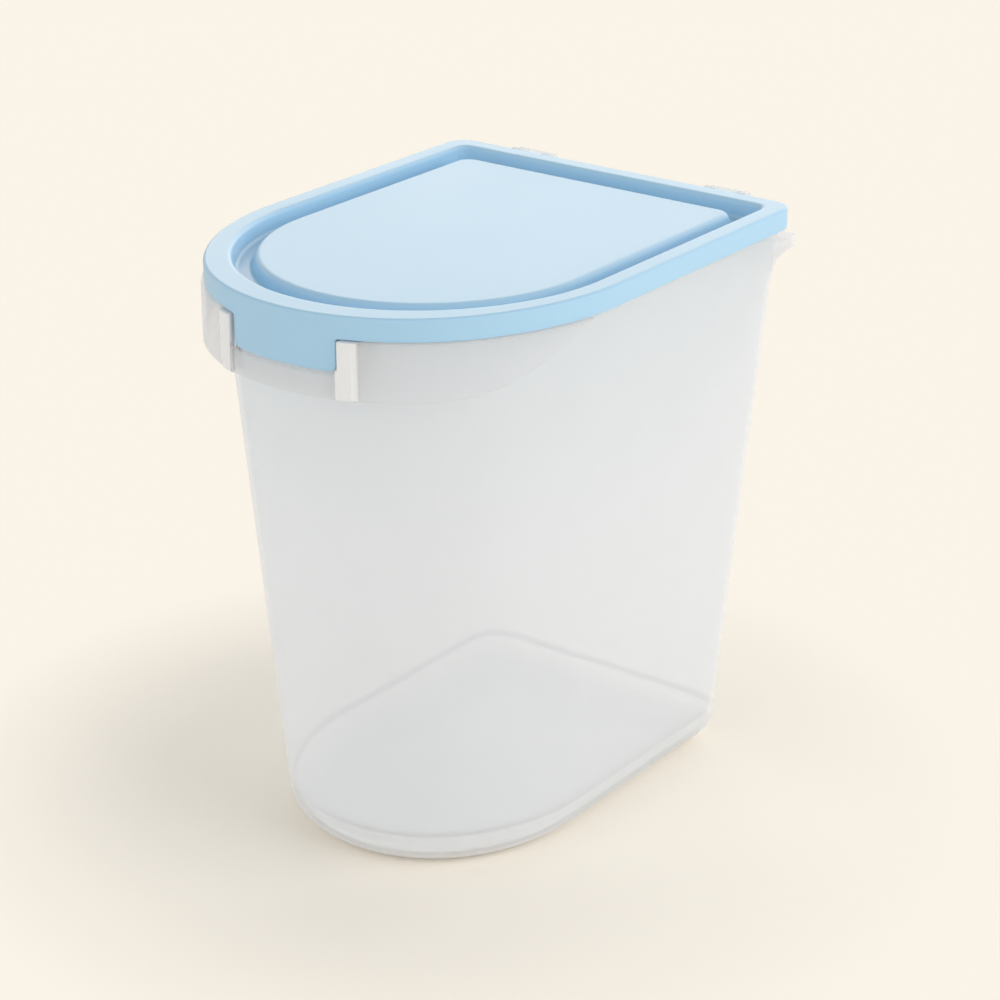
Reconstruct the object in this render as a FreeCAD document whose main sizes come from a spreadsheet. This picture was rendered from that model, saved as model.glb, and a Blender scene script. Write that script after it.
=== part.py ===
import FreeCAD, Part
import Sketcher
import math
import os
import re

# Pet food storage container: a tapered D-shaped tub with a hinged lid that latches at the front.
# Millimetres. The front is -Y and up is +Z. Each piece is drawn about the middle of the lid and then moved
# so that the origin is on the floor, half way between the front of the apron and the rear ledge.

SIZES = (
    ("total_height", 312, "floor to the top of the lid rim"),
    ("lid_width", 220, "lid, side to side"),
    ("lid_length", 285, "lid, tip of the round front to the flat back"),
    ("lid_corner", 11, "round of the two back corners of the lid"),
    ("nose_ease", 6.6, "half the lid's width less the radius of its round tip"),
    ("nose_reach", 13, "how much deeper the round front is than half the lid's width"),
    ("lid_wall", 2.2, "top wall of the lid"),
    ("skirt_wall", 2.2, "skirt of the lid"),
    ("skirt_height", 11.5, "top of the rim to the lower edge of the skirt"),
    ("rim_side", 11.2, "width of the rim at the sides and the back"),
    ("rim_front", 15.5, "width of the rim at the tip"),
    ("rim_ease", 5.8, "half the width less the tip radius, inner edge of the rim"),
    ("rim_reach", 7.2, "round front beyond half the width, inner edge of the rim"),
    ("rim_corner", 6, "back corners of the inner edge of the rim"),
    ("moat_floor", 2.2, "wall under the moat, which is level with the lower edge of the skirt"),
    ("moat_draft", 1.5, "how far the outer side of the moat leans in"),
    ("moat_side", 11.8, "rim to panel at the sides"),
    ("moat_front", 14.5, "rim to panel at the tip"),
    ("moat_back", 13.3, "rim to panel at the back"),
    ("panel_ease", 3, "half the width less the tip radius, panel"),
    ("panel_reach", 3, "round front beyond half the width, panel"),
    ("panel_corner", 8, "back corners of the panel"),
    ("panel_drop", 2, "how far the panel lies below the rim"),
    ("panel_slope", 3, "how far the panel's sides spread downwards"),
    ("panel_round", 1.6, "rounded edge of the panel"),
    ("rim_round", 1.4, "rounded edges of the rim"),
    ("channel", 6.4, "groove under the rim that takes the tub's collar"),
    ("gasket_thick", 2, "sealing ring, top to bottom"),
    ("gasket_side", 0.2, "room beside the sealing ring in its groove"),
    ("gasket_gap", 0.3, "sealing ring to the edge of the collar"),
    ("tub_wall", 2.2, "side wall of the tub"),
    ("tub_floor", 2.8, "floor of the tub"),
    ("collar_gap", 1.4, "inside of the skirt to the collar"),
    ("swing_room", 0.8, "extra room there at the back, where the skirt swings towards the collar"),
    ("seat_gap", 0.6, "lower edge of the skirt to the shoulder"),
    ("shoulder_wall", 2.4, "shoulder plate behind the apron"),
    ("front_step", 7.9, "collar to the front wall under the shoulder"),
    ("waist_corner", 10, "back corners of the wall under the shoulder"),
    ("base_width", 164, "foot of the tub, side to side"),
    ("base_front", 102, "middle of the lid to the front of the foot"),
    ("base_back", 134, "middle of the lid to the back of the foot"),
    ("base_ease", 5, "half the width less the tip radius, foot"),
    ("base_reach", 10, "round front beyond half the width, foot"),
    ("base_corner", 22, "back corners of the foot"),
    ("base_round", 16, "rounded edge between wall and floor"),
    ("foot_width", 6, "ring that the tub stands on"),
    ("foot_corner", 7, "back corners of the recess inside that ring"),
    ("foot_rise", 0.9, "depth of that recess"),
    ("apron_proud", 1.5, "apron beyond the skirt of the lid"),
    ("apron_wall", 2.2, "wall of the apron"),
    ("apron_end", 118, "middle of the lid to where the lower edge starts to rise"),
    ("apron_radius", 90, "arc in which the lower edge turns upwards"),
    ("apron_slope", 26.5, "rise of the lower edge, degrees"),
    ("tab_width", 62.5, "latch tab, side to side"),
    ("tab_height", 16.4, "latch tab below the skirt"),
    ("tab_corner", 3, "lower corners of the latch tab"),
    ("notch_gap", 1.3, "room round the tab in the notch of the apron"),
    ("bar_height", 11.8, "apron below the notch"),
    ("rib_width", 10, "upright rib beside the notch"),
    ("rib_proud", 1, "rib beyond the apron"),
    ("bead_width", 40, "snap bead inside the tab and the ridge that it passes"),
    ("bead_height", 2, "snap bead and ridge, top to bottom"),
    ("bead_drop", 11, "skirt to the top of the bead"),
    ("ridge_proud", 0.5, "ridge on the wall behind the tab"),
    ("snap_gap", 0.3, "bead to ridge when they pass"),
    ("hinge_inset", 46.5, "side of the lid to the middle of a hinge"),
    ("hinge_width", 26, "one hinge tower, side to side"),
    ("hinge_rise", 5, "hinge axis above the lower edge of the skirt"),
    ("pin_radius", 2, "hinge pin"),
    ("pin_fit", 0.03, "pin in the ears"),
    ("pin_running", 0.06, "knuckle on the pin"),
    ("head_radius", 3.2, "head of the pin"),
    ("head_thick", 1.4, "head of the pin"),
    ("ear_wall", 3.2, "tower round the pin"),
    ("ear_thick", 6, "one ear of a tower"),
    ("knuckle_wall", 2, "knuckle round the pin"),
    ("knuckle_gap", 0.3, "knuckle to ear, each side"),
    ("web_rise", 1.5, "web of the knuckle above the hinge axis"),
    ("swing_gap", 0.5, "swinging lid to tower"),
    ("stop_wall", 2.2, "wall at the back of a tower that stops the lid"),
    ("stop_rise", 4, "top of that wall above the hinge axis"),
    ("ledge_gap", 8.3, "skirt to the top of the rear ledge"),
    ("ledge_thick", 6, "rear ledge, top to bottom"),
    ("ledge_wall", 2.4, "walls of the hollow ledge"),
    ("ledge_inset", 5, "side of the lid to the end of the rear ledge"),
    ("ledge_corner", 3, "outer corners of the rear ledge"),
    ("gusset", 9, "curved gusset under each end of the ledge"),
)
NAMES = {name for name, value, meaning in SIZES}

doc = FreeCAD.newDocument("FoodBin")
sheet = doc.addObject("Spreadsheet::Sheet", "Sizes")
for row, (name, value, meaning) in enumerate(SIZES, 1):
    sheet.set(f"A{row}", name)
    sheet.set(f"B{row}", str(value))
    sheet.set(f"C{row}", meaning)
    sheet.setAlias(f"B{row}", name)
doc.recompute()

# Heights and places that several pieces share, as expressions in the sizes above.
SKIRT_Z = "total_height - skirt_height"
SHOULDER_Z = f"{SKIRT_Z} - seat_gap"
COLLAR_Z = "total_height - lid_wall - gasket_thick - gasket_gap"
MOAT_Z = f"{SKIRT_Z} + moat_floor"
TAB_Z = f"{SKIRT_Z} - tab_height"
NOTCH_Z = f"{TAB_Z} - notch_gap"
APRON_Z = f"{NOTCH_Z} - bar_height"
BEAD_Z = f"{SKIRT_Z} - bead_drop - bead_height"
LEDGE_Z = f"{SKIRT_Z} - ledge_gap"
HINGE_X = "(lid_width / 2 - hinge_inset)"
HINGE_Z = f"{SKIRT_Z} + hinge_rise"
HINGE_Y = "lid_length / 2 + pin_radius + ear_wall + swing_gap"
STOP_Y = f"{HINGE_Y} + pin_radius + knuckle_wall + swing_gap"
LEDGE_Y = f"{STOP_Y} + stop_wall"
NOSE = "lid_width / 2 - nose_ease"
NOSE_Y = f"lid_length / 2 - ({NOSE})"
COLLAR_IN = "skirt_wall + collar_gap"
LEDGE_HALF = "(lid_width / 2 - ledge_inset)"
NOTCH_HALF = "tab_width / 2 + notch_gap"
KNUCKLE_WIDTH = "hinge_width - 2 * ear_thick - 2 * knuckle_gap"
OVERLAP = "tub_wall / 2"
SHIFT_Y = f"(lid_length / 2 + apron_proud - ({LEDGE_Y})) / 2"


def number(text):
    """The value of an expression in the sizes."""
    return float(sheet.evalExpression(text))


def linked(text):
    """The same expression with each size read from the sheet."""
    return re.sub(r"[a-z_]+", lambda found: ("Sizes." if found[0] in NAMES else "") + found[0], text)


class Outline:
    """A D in plan: a flat back with round corners, straight sides and a front of three arcs."""

    def __init__(self, half, front, back, ease, reach, corner):
        self.half = half
        self.front = front
        self.back = back
        self.ease = ease
        self.reach = reach
        self.corner = corner
        self.nose = f"({half} - {ease})"
        self.run = f"({half} + {reach})"

    def inset(self, by):
        """The outline a constant distance further in."""
        moved = [f"({size} - ({by}))" for size in (self.half, self.front, self.back)]
        return Outline(*moved, self.ease, self.reach, f"max({self.corner} - ({by}); lid_wall / 4)")


LID = Outline("lid_width / 2", "lid_length / 2", "lid_length / 2", "nose_ease", "nose_reach", "lid_corner")
RIM = Outline(
    "(lid_width / 2 - rim_side)",
    "(lid_length / 2 - rim_front)",
    "(lid_length / 2 - rim_side)",
    "rim_ease",
    "rim_reach",
    "rim_corner",
)
PANEL = Outline(
    f"({RIM.half} - moat_side)",
    f"({RIM.front} - moat_front)",
    f"({RIM.back} - moat_back)",
    "panel_ease",
    "panel_reach",
    "panel_corner",
)
SEAL = LID.inset("skirt_wall + channel")
COLLAR = LID.inset(COLLAR_IN)
COLLAR.back = f"({COLLAR.back} - swing_room)"
STEP_FRONT = f"({COLLAR.front} - front_step)"
WAIST = Outline(COLLAR.half, STEP_FRONT, COLLAR.back, COLLAR.ease, COLLAR.reach, "waist_corner")
BASE = Outline("base_width / 2", "base_front", "base_back", "base_ease", "base_reach", "base_corner")
FOOT = BASE.inset("base_round + foot_width")
FOOT.corner = "foot_corner"


def make_body(name):
    """An empty body whose label names the piece."""
    body = doc.addObject("PartDesign::Body", name)
    body.Label = name
    body.setExpression("Placement.Base.y", linked(SHIFT_Y))
    return body


def make_sketch(body, name, plane, height):
    """A sketch on one of the body's own planes, moved along that plane's normal."""
    sketch = body.newObject("Sketcher::SketchObject", name)
    planes = {feature.Role: feature for feature in body.Origin.OriginFeatures}
    sketch.AttachmentSupport = (planes[plane], [""])
    sketch.MapMode = "FlatFace"
    sketch.setExpression("AttachmentOffset.Base.z", linked(height))
    return sketch


def dimension(sketch, text, kind, *where):
    """A dimension that follows the sizes."""
    index = sketch.addConstraint(Sketcher.Constraint(kind, *where, number(text)))
    sketch.setExpression(f"Constraints[{index}]", linked(text))


def place_point(sketch, curve, point, across, up):
    """Ties a point to the sketch's origin, on whichever side of it the point lies."""
    for kind, text in (("DistanceX", across), ("DistanceY", up)):
        if number(text) < 0:
            dimension(sketch, f"-({text})", kind, curve, point, -1, 1)
        else:
            dimension(sketch, text, kind, -1, 1, curve, point)


def line(start, end):
    """A straight edge between two points."""
    return Part.LineSegment(FreeCAD.Vector(*start, 0), FreeCAD.Vector(*end, 0))


def arc(centre, radius, first, last):
    """An arc that runs anticlockwise from one angle to another."""
    circle = Part.Circle(FreeCAD.Vector(*centre, 0), FreeCAD.Vector(0, 0, 1), radius)
    return Part.ArcOfCircle(circle, first, last)


def draw_outline(sketch, outline):
    """Draws a D with tangent joints and ties its measures to the sizes."""
    half = number(outline.half)
    front = -number(outline.front)
    back = number(outline.back)
    nose = number(outline.nose)
    run = number(outline.run)
    corner = number(outline.corner)
    side = (half**2 + (run - nose) ** 2 - nose**2) / (2 * (half - nose))
    meet = math.atan2(nose - run, side - half)
    start = sketch.GeometryCount
    curves = (
        line((half, front + run), (half, back - corner)),
        arc((half - corner, back - corner), corner, 0, math.pi / 2),
        line((half - corner, back), (corner - half, back)),
        arc((corner - half, back - corner), corner, math.pi / 2, math.pi),
        line((-half, back - corner), (-half, front + run)),
        arc((side - half, front + run), side, math.pi, math.pi - meet),
        arc((0, front + nose), nose, math.pi - meet, 2 * math.pi + meet),
        arc((half - side, front + run), side, 2 * math.pi + meet, 2 * math.pi),
    )
    for curve in curves:
        sketch.addGeometry(curve, False)
    right, right_corner, rear, left_corner, left, left_arc, tip, right_arc = range(start, start + 8)
    for this in range(8):
        ends = (start + this, 2, start + (this + 1) % 8, 1)
        sketch.addConstraint(Sketcher.Constraint("Tangent", *ends))
    sketch.addConstraint(Sketcher.Constraint("Vertical", right))
    sketch.addConstraint(Sketcher.Constraint("Horizontal", rear))
    sketch.addConstraint(Sketcher.Constraint("Vertical", left))
    sketch.addConstraint(Sketcher.Constraint("PointOnObject", tip, 3, -2))
    length = f"{outline.front} + {outline.back}"
    dimension(sketch, outline.half, "DistanceX", -1, 1, right, 1)
    dimension(sketch, outline.half, "DistanceX", left, 1, -1, 1)
    dimension(sketch, outline.back, "DistanceY", -1, 1, rear, 1)
    dimension(sketch, f"{length} - {outline.nose}", "DistanceY", tip, 3, rear, 1)
    dimension(sketch, f"{length} - {outline.run}", "DistanceY", right, 1, rear, 1)
    dimension(sketch, f"{length} - {outline.run}", "DistanceY", left, 2, rear, 1)
    dimension(sketch, outline.nose, "Radius", tip)
    dimension(sketch, outline.corner, "Radius", right_corner)
    dimension(sketch, outline.corner, "Radius", left_corner)


def outline_sketch(body, name, height, *outlines):
    """A level sketch with one D, or with two for a ring."""
    sketch = make_sketch(body, name, "XY_Plane", height)
    for outline in outlines:
        draw_outline(sketch, outline)
    return sketch


def sector_sketch(body, name, height, inner, outer, first, last):
    """A level sketch of a strip along the round front, between two radii and two places across."""
    sketch = make_sketch(body, name, "XY_Plane", height)
    centre = (0, -number(NOSE_Y))
    ends = []
    for radius in (number(outer), number(inner)):
        angles = [math.asin(number(place) / radius) - math.pi / 2 for place in (first, last)]
        points = [(radius * math.cos(a), centre[1] + radius * math.sin(a)) for a in angles]
        ends.append((radius, angles, points))
    (outer_radius, outer_angles, outer_points), (inner_radius, inner_angles, inner_points) = ends
    sketch.addGeometry(arc(centre, outer_radius, *outer_angles), False)
    sketch.addGeometry(line(outer_points[1], inner_points[1]), False)
    sketch.addGeometry(arc(centre, inner_radius, *inner_angles), False)
    sketch.addGeometry(line(inner_points[0], outer_points[0]), False)
    for joint in ((0, 2, 1, 1), (1, 2, 2, 2), (2, 1, 3, 1), (3, 2, 0, 1), (0, 3, 2, 3)):
        sketch.addConstraint(Sketcher.Constraint("Coincident", *joint))
    sketch.addConstraint(Sketcher.Constraint("Vertical", 1))
    sketch.addConstraint(Sketcher.Constraint("Vertical", 3))
    sketch.addConstraint(Sketcher.Constraint("PointOnObject", 0, 3, -2))
    dimension(sketch, NOSE_Y, "DistanceY", 0, 3, -1, 1)
    dimension(sketch, outer, "Radius", 0)
    dimension(sketch, inner, "Radius", 2)
    for point, place in ((1, first), (2, last)):
        if number(place) < 0:
            dimension(sketch, f"-({place})", "DistanceX", 0, point, -1, 1)
        else:
            dimension(sketch, place, "DistanceX", -1, 1, 0, point)
    return sketch


def rectangle_sketch(body, name, plane, height, across, up):
    """A rectangle between two places across and two places up."""
    sketch = make_sketch(body, name, plane, height)
    corners = [(x, y) for x, y in zip((0, 1, 1, 0), (0, 0, 1, 1))]
    points = [(number(across[x]), number(up[y])) for x, y in corners]
    for this in range(4):
        sketch.addGeometry(line(points[this], points[(this + 1) % 4]), False)
    for this in range(4):
        sketch.addConstraint(Sketcher.Constraint("Coincident", this, 2, (this + 1) % 4, 1))
    for this, kind in enumerate(("Horizontal", "Vertical", "Horizontal", "Vertical")):
        sketch.addConstraint(Sketcher.Constraint(kind, this))
    place_point(sketch, 0, 1, across[0], up[0])
    place_point(sketch, 2, 1, across[1], up[1])
    return sketch


def circle_sketch(body, name, height, radius):
    """A circle round the hinge axis, in a plane across it."""
    sketch = make_sketch(body, name, "YZ_Plane", height)
    centre = FreeCAD.Vector(number(HINGE_Y), number(HINGE_Z), 0)
    sketch.addGeometry(Part.Circle(centre, FreeCAD.Vector(0, 0, 1), number(radius)), False)
    place_point(sketch, 0, 3, HINGE_Y, HINGE_Z)
    dimension(sketch, radius, "Radius", 0)
    return sketch


def extrude(body, kind, name, profile, length, reverse=False, both=False):
    """A pad or a pocket of a sketch, checked to have changed the solid."""
    before = body.Shape.Volume if body.Tip else 0.0
    feature = body.newObject(f"PartDesign::{kind}", name)
    feature.Profile = profile
    feature.Type = "Length"
    feature.SideType = "Symmetric" if both else "One side"
    feature.Reversed = reverse
    feature.setExpression("Length", linked(length))
    finish(body, feature, kind == "Pad", before)
    return feature


def loft(body, kind, name, first, last):
    """A solid between two sketches, added or cut."""
    before = body.Shape.Volume if body.Tip else 0.0
    feature = body.newObject(f"PartDesign::{kind}", name)
    feature.Profile = first
    feature.Sections = [last]
    feature.Ruled = True
    finish(body, feature, kind == "AdditiveLoft", before)
    return feature


def finish(body, feature, adds, before):
    """Builds a feature and makes sure that it added or cut material."""
    doc.recompute()
    after = body.Shape.Volume
    if (after > before) != adds or abs(after - before) < 1e-3:
        raise RuntimeError(f"{body.Label}: {feature.Name} left the volume at {after:.1f} from {before:.1f}")


def round_edges(body, name, radius, edges):
    """Rounds the given edges of the body's solid."""
    base = body.Tip
    wanted = edges(base.Shape)
    names = [
        f"Edge{index}"
        for index, edge in enumerate(base.Shape.Edges, 1)
        if any(edge.isSame(one) for one in wanted)
    ]
    feature = body.newObject("PartDesign::Fillet", name)
    feature.Base = (base, names)
    feature.setExpression("Radius", linked(radius))
    doc.recompute()


def level_face(shape, height, up):
    """The widest flat face at a height that looks up or down."""
    faces = [
        face
        for face in shape.Faces
        if face.Surface.TypeId == "Part::GeomPlane"
        and abs(face.BoundBox.ZMin - height) < 1e-3
        and abs(face.BoundBox.ZMax - height) < 1e-3
        and face.normalAt(0, 0).z * up > 0.9
    ]
    return max(faces, key=lambda face: face.BoundBox.DiagonalLength)


def upright_edges(shape, height, across, along):
    """Straight edges that stand on a height at a given distance from the middle and from the front."""
    return [
        edge
        for edge in shape.Edges
        if edge.BoundBox.ZLength > 1e-3
        and edge.BoundBox.XLength < 1e-3
        and abs(edge.BoundBox.ZMin - height) < 1e-3
        and abs(abs(edge.BoundBox.XMin) - across) < 1e-3
        and abs(edge.BoundBox.YMin - along) < 1e-3
    ]


def make_tub():
    """Wall, floor, collar, apron, ledge and hinge towers in one moulding."""
    body = make_body("tub")
    add_apron(body)
    add_catch(body)
    add_ledge(body)
    for name, side in (("left", "-"), ("right", "")):
        add_tower(body, name, f"{side}{HINGE_X}")
    sketch = outline_sketch(body, "collar_plan", f"{SHOULDER_Z} - shoulder_wall", COLLAR)
    extrude(body, "Pad", "collar_block", sketch, f"{COLLAR_Z} - ({SHOULDER_Z} - shoulder_wall)")
    foot = outline_sketch(body, "foot_plan", "0", BASE)
    waist = outline_sketch(body, "waist_plan", SHOULDER_Z, WAIST)
    loft(body, "AdditiveLoft", "wall", foot, waist)
    sketch = outline_sketch(body, "mouth_plan", SHOULDER_Z, COLLAR.inset("tub_wall"))
    extrude(body, "Pocket", "mouth", sketch, f"{COLLAR_Z} - ({SHOULDER_Z})", reverse=True)
    floor = outline_sketch(body, "floor_plan", "tub_floor", BASE.inset("tub_wall"))
    mouth = outline_sketch(body, "throat_plan", SHOULDER_Z, WAIST.inset("tub_wall"))
    loft(body, "SubtractiveLoft", "inside", floor, mouth)
    level = number("tub_floor")
    round_edges(body, "floor_round", "base_round - tub_wall", lambda shape: level_face(shape, level, 1).Edges)
    round_edges(body, "foot_round", "base_round", lambda shape: level_face(shape, 0, -1).Edges)
    sketch = outline_sketch(body, "recess_plan", "0", FOOT)
    extrude(body, "Pocket", "foot_recess", sketch, "foot_rise", reverse=True)
    return body


def add_apron(body):
    """The band that hangs from the shoulder round the front and rises to nothing along the sides."""
    outer = LID.inset("-apron_proud")
    sketch = outline_sketch(body, "apron_plan", APRON_Z, outer)
    extrude(body, "Pad", "apron_block", sketch, f"{SHOULDER_Z} - ({APRON_Z})")
    sketch = outline_sketch(body, "apron_inside_plan", APRON_Z, outer.inset("apron_wall"))
    depth = f"{SHOULDER_Z} - shoulder_wall - ({APRON_Z})"
    extrude(body, "Pocket", "apron_inside", sketch, depth, reverse=True)
    sketch = apron_edge_sketch(body)
    extrude(body, "Pocket", "apron_edge", sketch, "2 * lid_width", both=True)


def apron_edge_sketch(body):
    """Side view of what is cut away behind and below the rising lower edge of the apron."""
    sketch = make_sketch(body, "apron_edge_side", "YZ_Plane", "0")
    end = -number("apron_end")
    level = number(APRON_Z)
    low = level - number("bar_height")
    top = number(f"{SHOULDER_Z} + seat_gap")
    back = number("lid_length")
    bend = number("apron_radius")
    slope = math.radians(number("apron_slope"))
    turned = (end + bend * math.sin(slope), level + bend * (1 - math.cos(slope)))
    reach = turned[0] + (top - turned[1]) / math.tan(slope)
    sketch.addGeometry(line((end, low), (end, level)), False)
    sketch.addGeometry(arc((end, level + bend), bend, -math.pi / 2, slope - math.pi / 2), False)
    sketch.addGeometry(line(turned, (reach, top)), False)
    sketch.addGeometry(line((reach, top), (back, top)), False)
    sketch.addGeometry(line((back, top), (back, low)), False)
    sketch.addGeometry(line((back, low), (end, low)), False)
    for this, kind in enumerate(("Perpendicular", "Tangent") + 4 * ("Coincident",)):
        sketch.addConstraint(Sketcher.Constraint(kind, this, 2, (this + 1) % 6, 1))
    for this, kind in ((0, "Vertical"), (3, "Horizontal"), (4, "Vertical"), (5, "Horizontal")):
        sketch.addConstraint(Sketcher.Constraint(kind, this))
    place_point(sketch, 0, 2, "-apron_end", APRON_Z)
    place_point(sketch, 3, 2, "lid_length", f"{SHOULDER_Z} + seat_gap")
    dimension(sketch, f"{APRON_Z} - bar_height", "DistanceY", -1, 1, 5, 1)
    dimension(sketch, "apron_radius", "Radius", 1)
    angle = sketch.addConstraint(Sketcher.Constraint("Angle", 2, slope))
    sketch.setExpression(f"Constraints[{angle}]", linked("apron_slope * 1 deg"))
    return sketch


def add_catch(body):
    """Notch for the latch tab, the wall with the ridge behind it and the two ribs beside it."""
    face = f"{NOSE} - ({COLLAR_IN})"
    half = NOTCH_HALF
    sides = (f"-({half})", half)
    sketch = sector_sketch(body, "notch_plan", NOTCH_Z, face, f"{NOSE} + 4 * apron_wall", *sides)
    extrude(body, "Pocket", "notch", sketch, f"2 * ({SHOULDER_Z} - ({NOTCH_Z}))", reverse=True)
    wide = (f"-({half} + apron_wall)", f"{half} + apron_wall")
    sketch = sector_sketch(body, "catch_plan", APRON_Z, f"{face} - tub_wall", face, *wide)
    extrude(body, "Pad", "catch_wall", sketch, f"{SHOULDER_Z} - ({APRON_Z})")
    middle = ("-bead_width / 2", "bead_width / 2")
    level = f"{BEAD_Z} + bead_height + notch_gap"
    sketch = sector_sketch(body, "ridge_plan", level, f"{face} - {OVERLAP}", f"{face} + ridge_proud", *middle)
    extrude(body, "Pad", "ridge", sketch, "bead_height")
    inner = f"{NOSE} + apron_proud - apron_wall"
    outer = f"{NOSE} + apron_proud + rib_proud"
    for name, near, far in (
        ("right", half, f"{half} + rib_width"),
        ("left", f"-({half} + rib_width)", f"-({half})"),
    ):
        sketch = sector_sketch(body, f"rib_{name}_plan", APRON_Z, inner, outer, near, far)
        extrude(body, "Pad", f"rib_{name}", sketch, f"{SHOULDER_Z} - ({APRON_Z})")


def add_ledge(body):
    """Hollow ledge across the back that carries the hinge towers, with a gusset under each end."""
    inside = f"{COLLAR.back} - 4 * tub_wall"
    under = f"{LEDGE_Z} - ledge_thick"
    sketch = rectangle_sketch(body, "ledge_side", "YZ_Plane", "0", (inside, LEDGE_Y), (under, LEDGE_Z))
    extrude(body, "Pad", "ledge", sketch, f"2 * {LEDGE_HALF}", both=True)
    reach = number(LEDGE_Y)
    level = number(under)
    end = number(LEDGE_HALF)
    round_edges(body, "ledge_round", "ledge_corner", lambda shape: upright_edges(shape, level, end, reach))
    across = (f"ledge_wall - {LEDGE_HALF}", f"{LEDGE_HALF} - ledge_wall")
    along = (f"{COLLAR.back} + ledge_wall", f"{LEDGE_Y} - ledge_wall")
    sketch = rectangle_sketch(body, "ledge_hollow_plan", "XY_Plane", under, across, along)
    extrude(body, "Pocket", "ledge_hollow", sketch, "ledge_thick - ledge_wall", reverse=True)
    for name, side in (("left", "-1"), ("right", "1")):
        place = f"{side} * ({LEDGE_HALF} - ledge_wall / 2)"
        sketch = gusset_sketch(body, f"gusset_{name}_side", place, inside, under)
        extrude(body, "Pad", f"gusset_{name}", sketch, "ledge_wall", both=True)


def gusset_sketch(body, name, place, inside, under):
    """Side view of a gusset with a hollow curve under the ledge."""
    sketch = make_sketch(body, name, "YZ_Plane", place)
    start = number(inside)
    root = number(COLLAR.back)
    level = number(under)
    size = number("gusset")
    sketch.addGeometry(line((root + size, level), (start, level)), False)
    sketch.addGeometry(line((start, level), (start, level - size)), False)
    sketch.addGeometry(line((start, level - size), (root, level - size)), False)
    sketch.addGeometry(arc((root + size, level - size), size, math.pi / 2, math.pi), False)
    for joint in ((0, 2, 1, 1), (1, 2, 2, 1), (2, 2, 3, 2), (3, 1, 0, 1)):
        sketch.addConstraint(Sketcher.Constraint("Coincident", *joint))
    for this, kind in ((0, "Horizontal"), (1, "Vertical"), (2, "Horizontal")):
        sketch.addConstraint(Sketcher.Constraint(kind, this))
    sketch.addConstraint(Sketcher.Constraint("Vertical", 3, 1, 3, 3))
    sketch.addConstraint(Sketcher.Constraint("Horizontal", 3, 2, 3, 3))
    dimension(sketch, inside, "DistanceX", -1, 1, 0, 2)
    place_point(sketch, 3, 3, f"{COLLAR.back} + gusset", f"{under} - gusset")
    dimension(sketch, "gusset", "Radius", 3)
    return sketch


def add_tower(body, name, place):
    """Two ears and a stop wall that stand on the ledge round one knuckle of the lid."""
    sketch = ear_sketch(body, f"ears_{name}_side", place)
    extrude(body, "Pad", f"ears_{name}", sketch, "hinge_width", both=True)
    ahead = f"{HINGE_Y} - pin_radius - ear_wall - swing_gap"
    above = f"{HINGE_Z} + 2 * (pin_radius + ear_wall)"
    slot = rectangle_sketch(
        body, f"slot_{name}_side", "YZ_Plane", place, (ahead, f"{LEDGE_Y} + stop_wall"), (LEDGE_Z, above)
    )
    extrude(body, "Pocket", f"slot_{name}", slot, "hinge_width - 2 * ear_thick", both=True)
    stop = rectangle_sketch(
        body, f"stop_{name}_side", "YZ_Plane", place, (STOP_Y, LEDGE_Y), (LEDGE_Z, f"{HINGE_Z} + stop_rise")
    )
    extrude(body, "Pad", f"stop_{name}", stop, "hinge_width", both=True)
    hole = circle_sketch(body, f"hole_{name}_side", place, "pin_radius + pin_fit")
    extrude(body, "Pocket", f"hole_{name}", hole, "2 * hinge_width", both=True)


def ear_sketch(body, name, place):
    """Side view of an ear: upright sides and a round top about the hinge axis."""
    sketch = make_sketch(body, name, "YZ_Plane", place)
    axis = number(HINGE_Y)
    height = number(HINGE_Z)
    foot = number(LEDGE_Z)
    radius = number("pin_radius + ear_wall")
    sketch.addGeometry(line((axis - radius, foot), (axis + radius, foot)), False)
    sketch.addGeometry(line((axis + radius, foot), (axis + radius, height)), False)
    sketch.addGeometry(arc((axis, height), radius, 0, math.pi), False)
    sketch.addGeometry(line((axis - radius, height), (axis - radius, foot)), False)
    for this, kind in enumerate(("Coincident", "Tangent", "Tangent", "Coincident")):
        sketch.addConstraint(Sketcher.Constraint(kind, this, 2, (this + 1) % 4, 1))
    sketch.addConstraint(Sketcher.Constraint("Horizontal", 0))
    sketch.addConstraint(Sketcher.Constraint("Vertical", 1))
    sketch.addConstraint(Sketcher.Constraint("Vertical", 3))
    place_point(sketch, 2, 3, HINGE_Y, HINGE_Z)
    dimension(sketch, "pin_radius + ear_wall", "Radius", 2)
    dimension(sketch, LEDGE_Z, "DistanceY", -1, 1, 0, 1)
    return sketch


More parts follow.
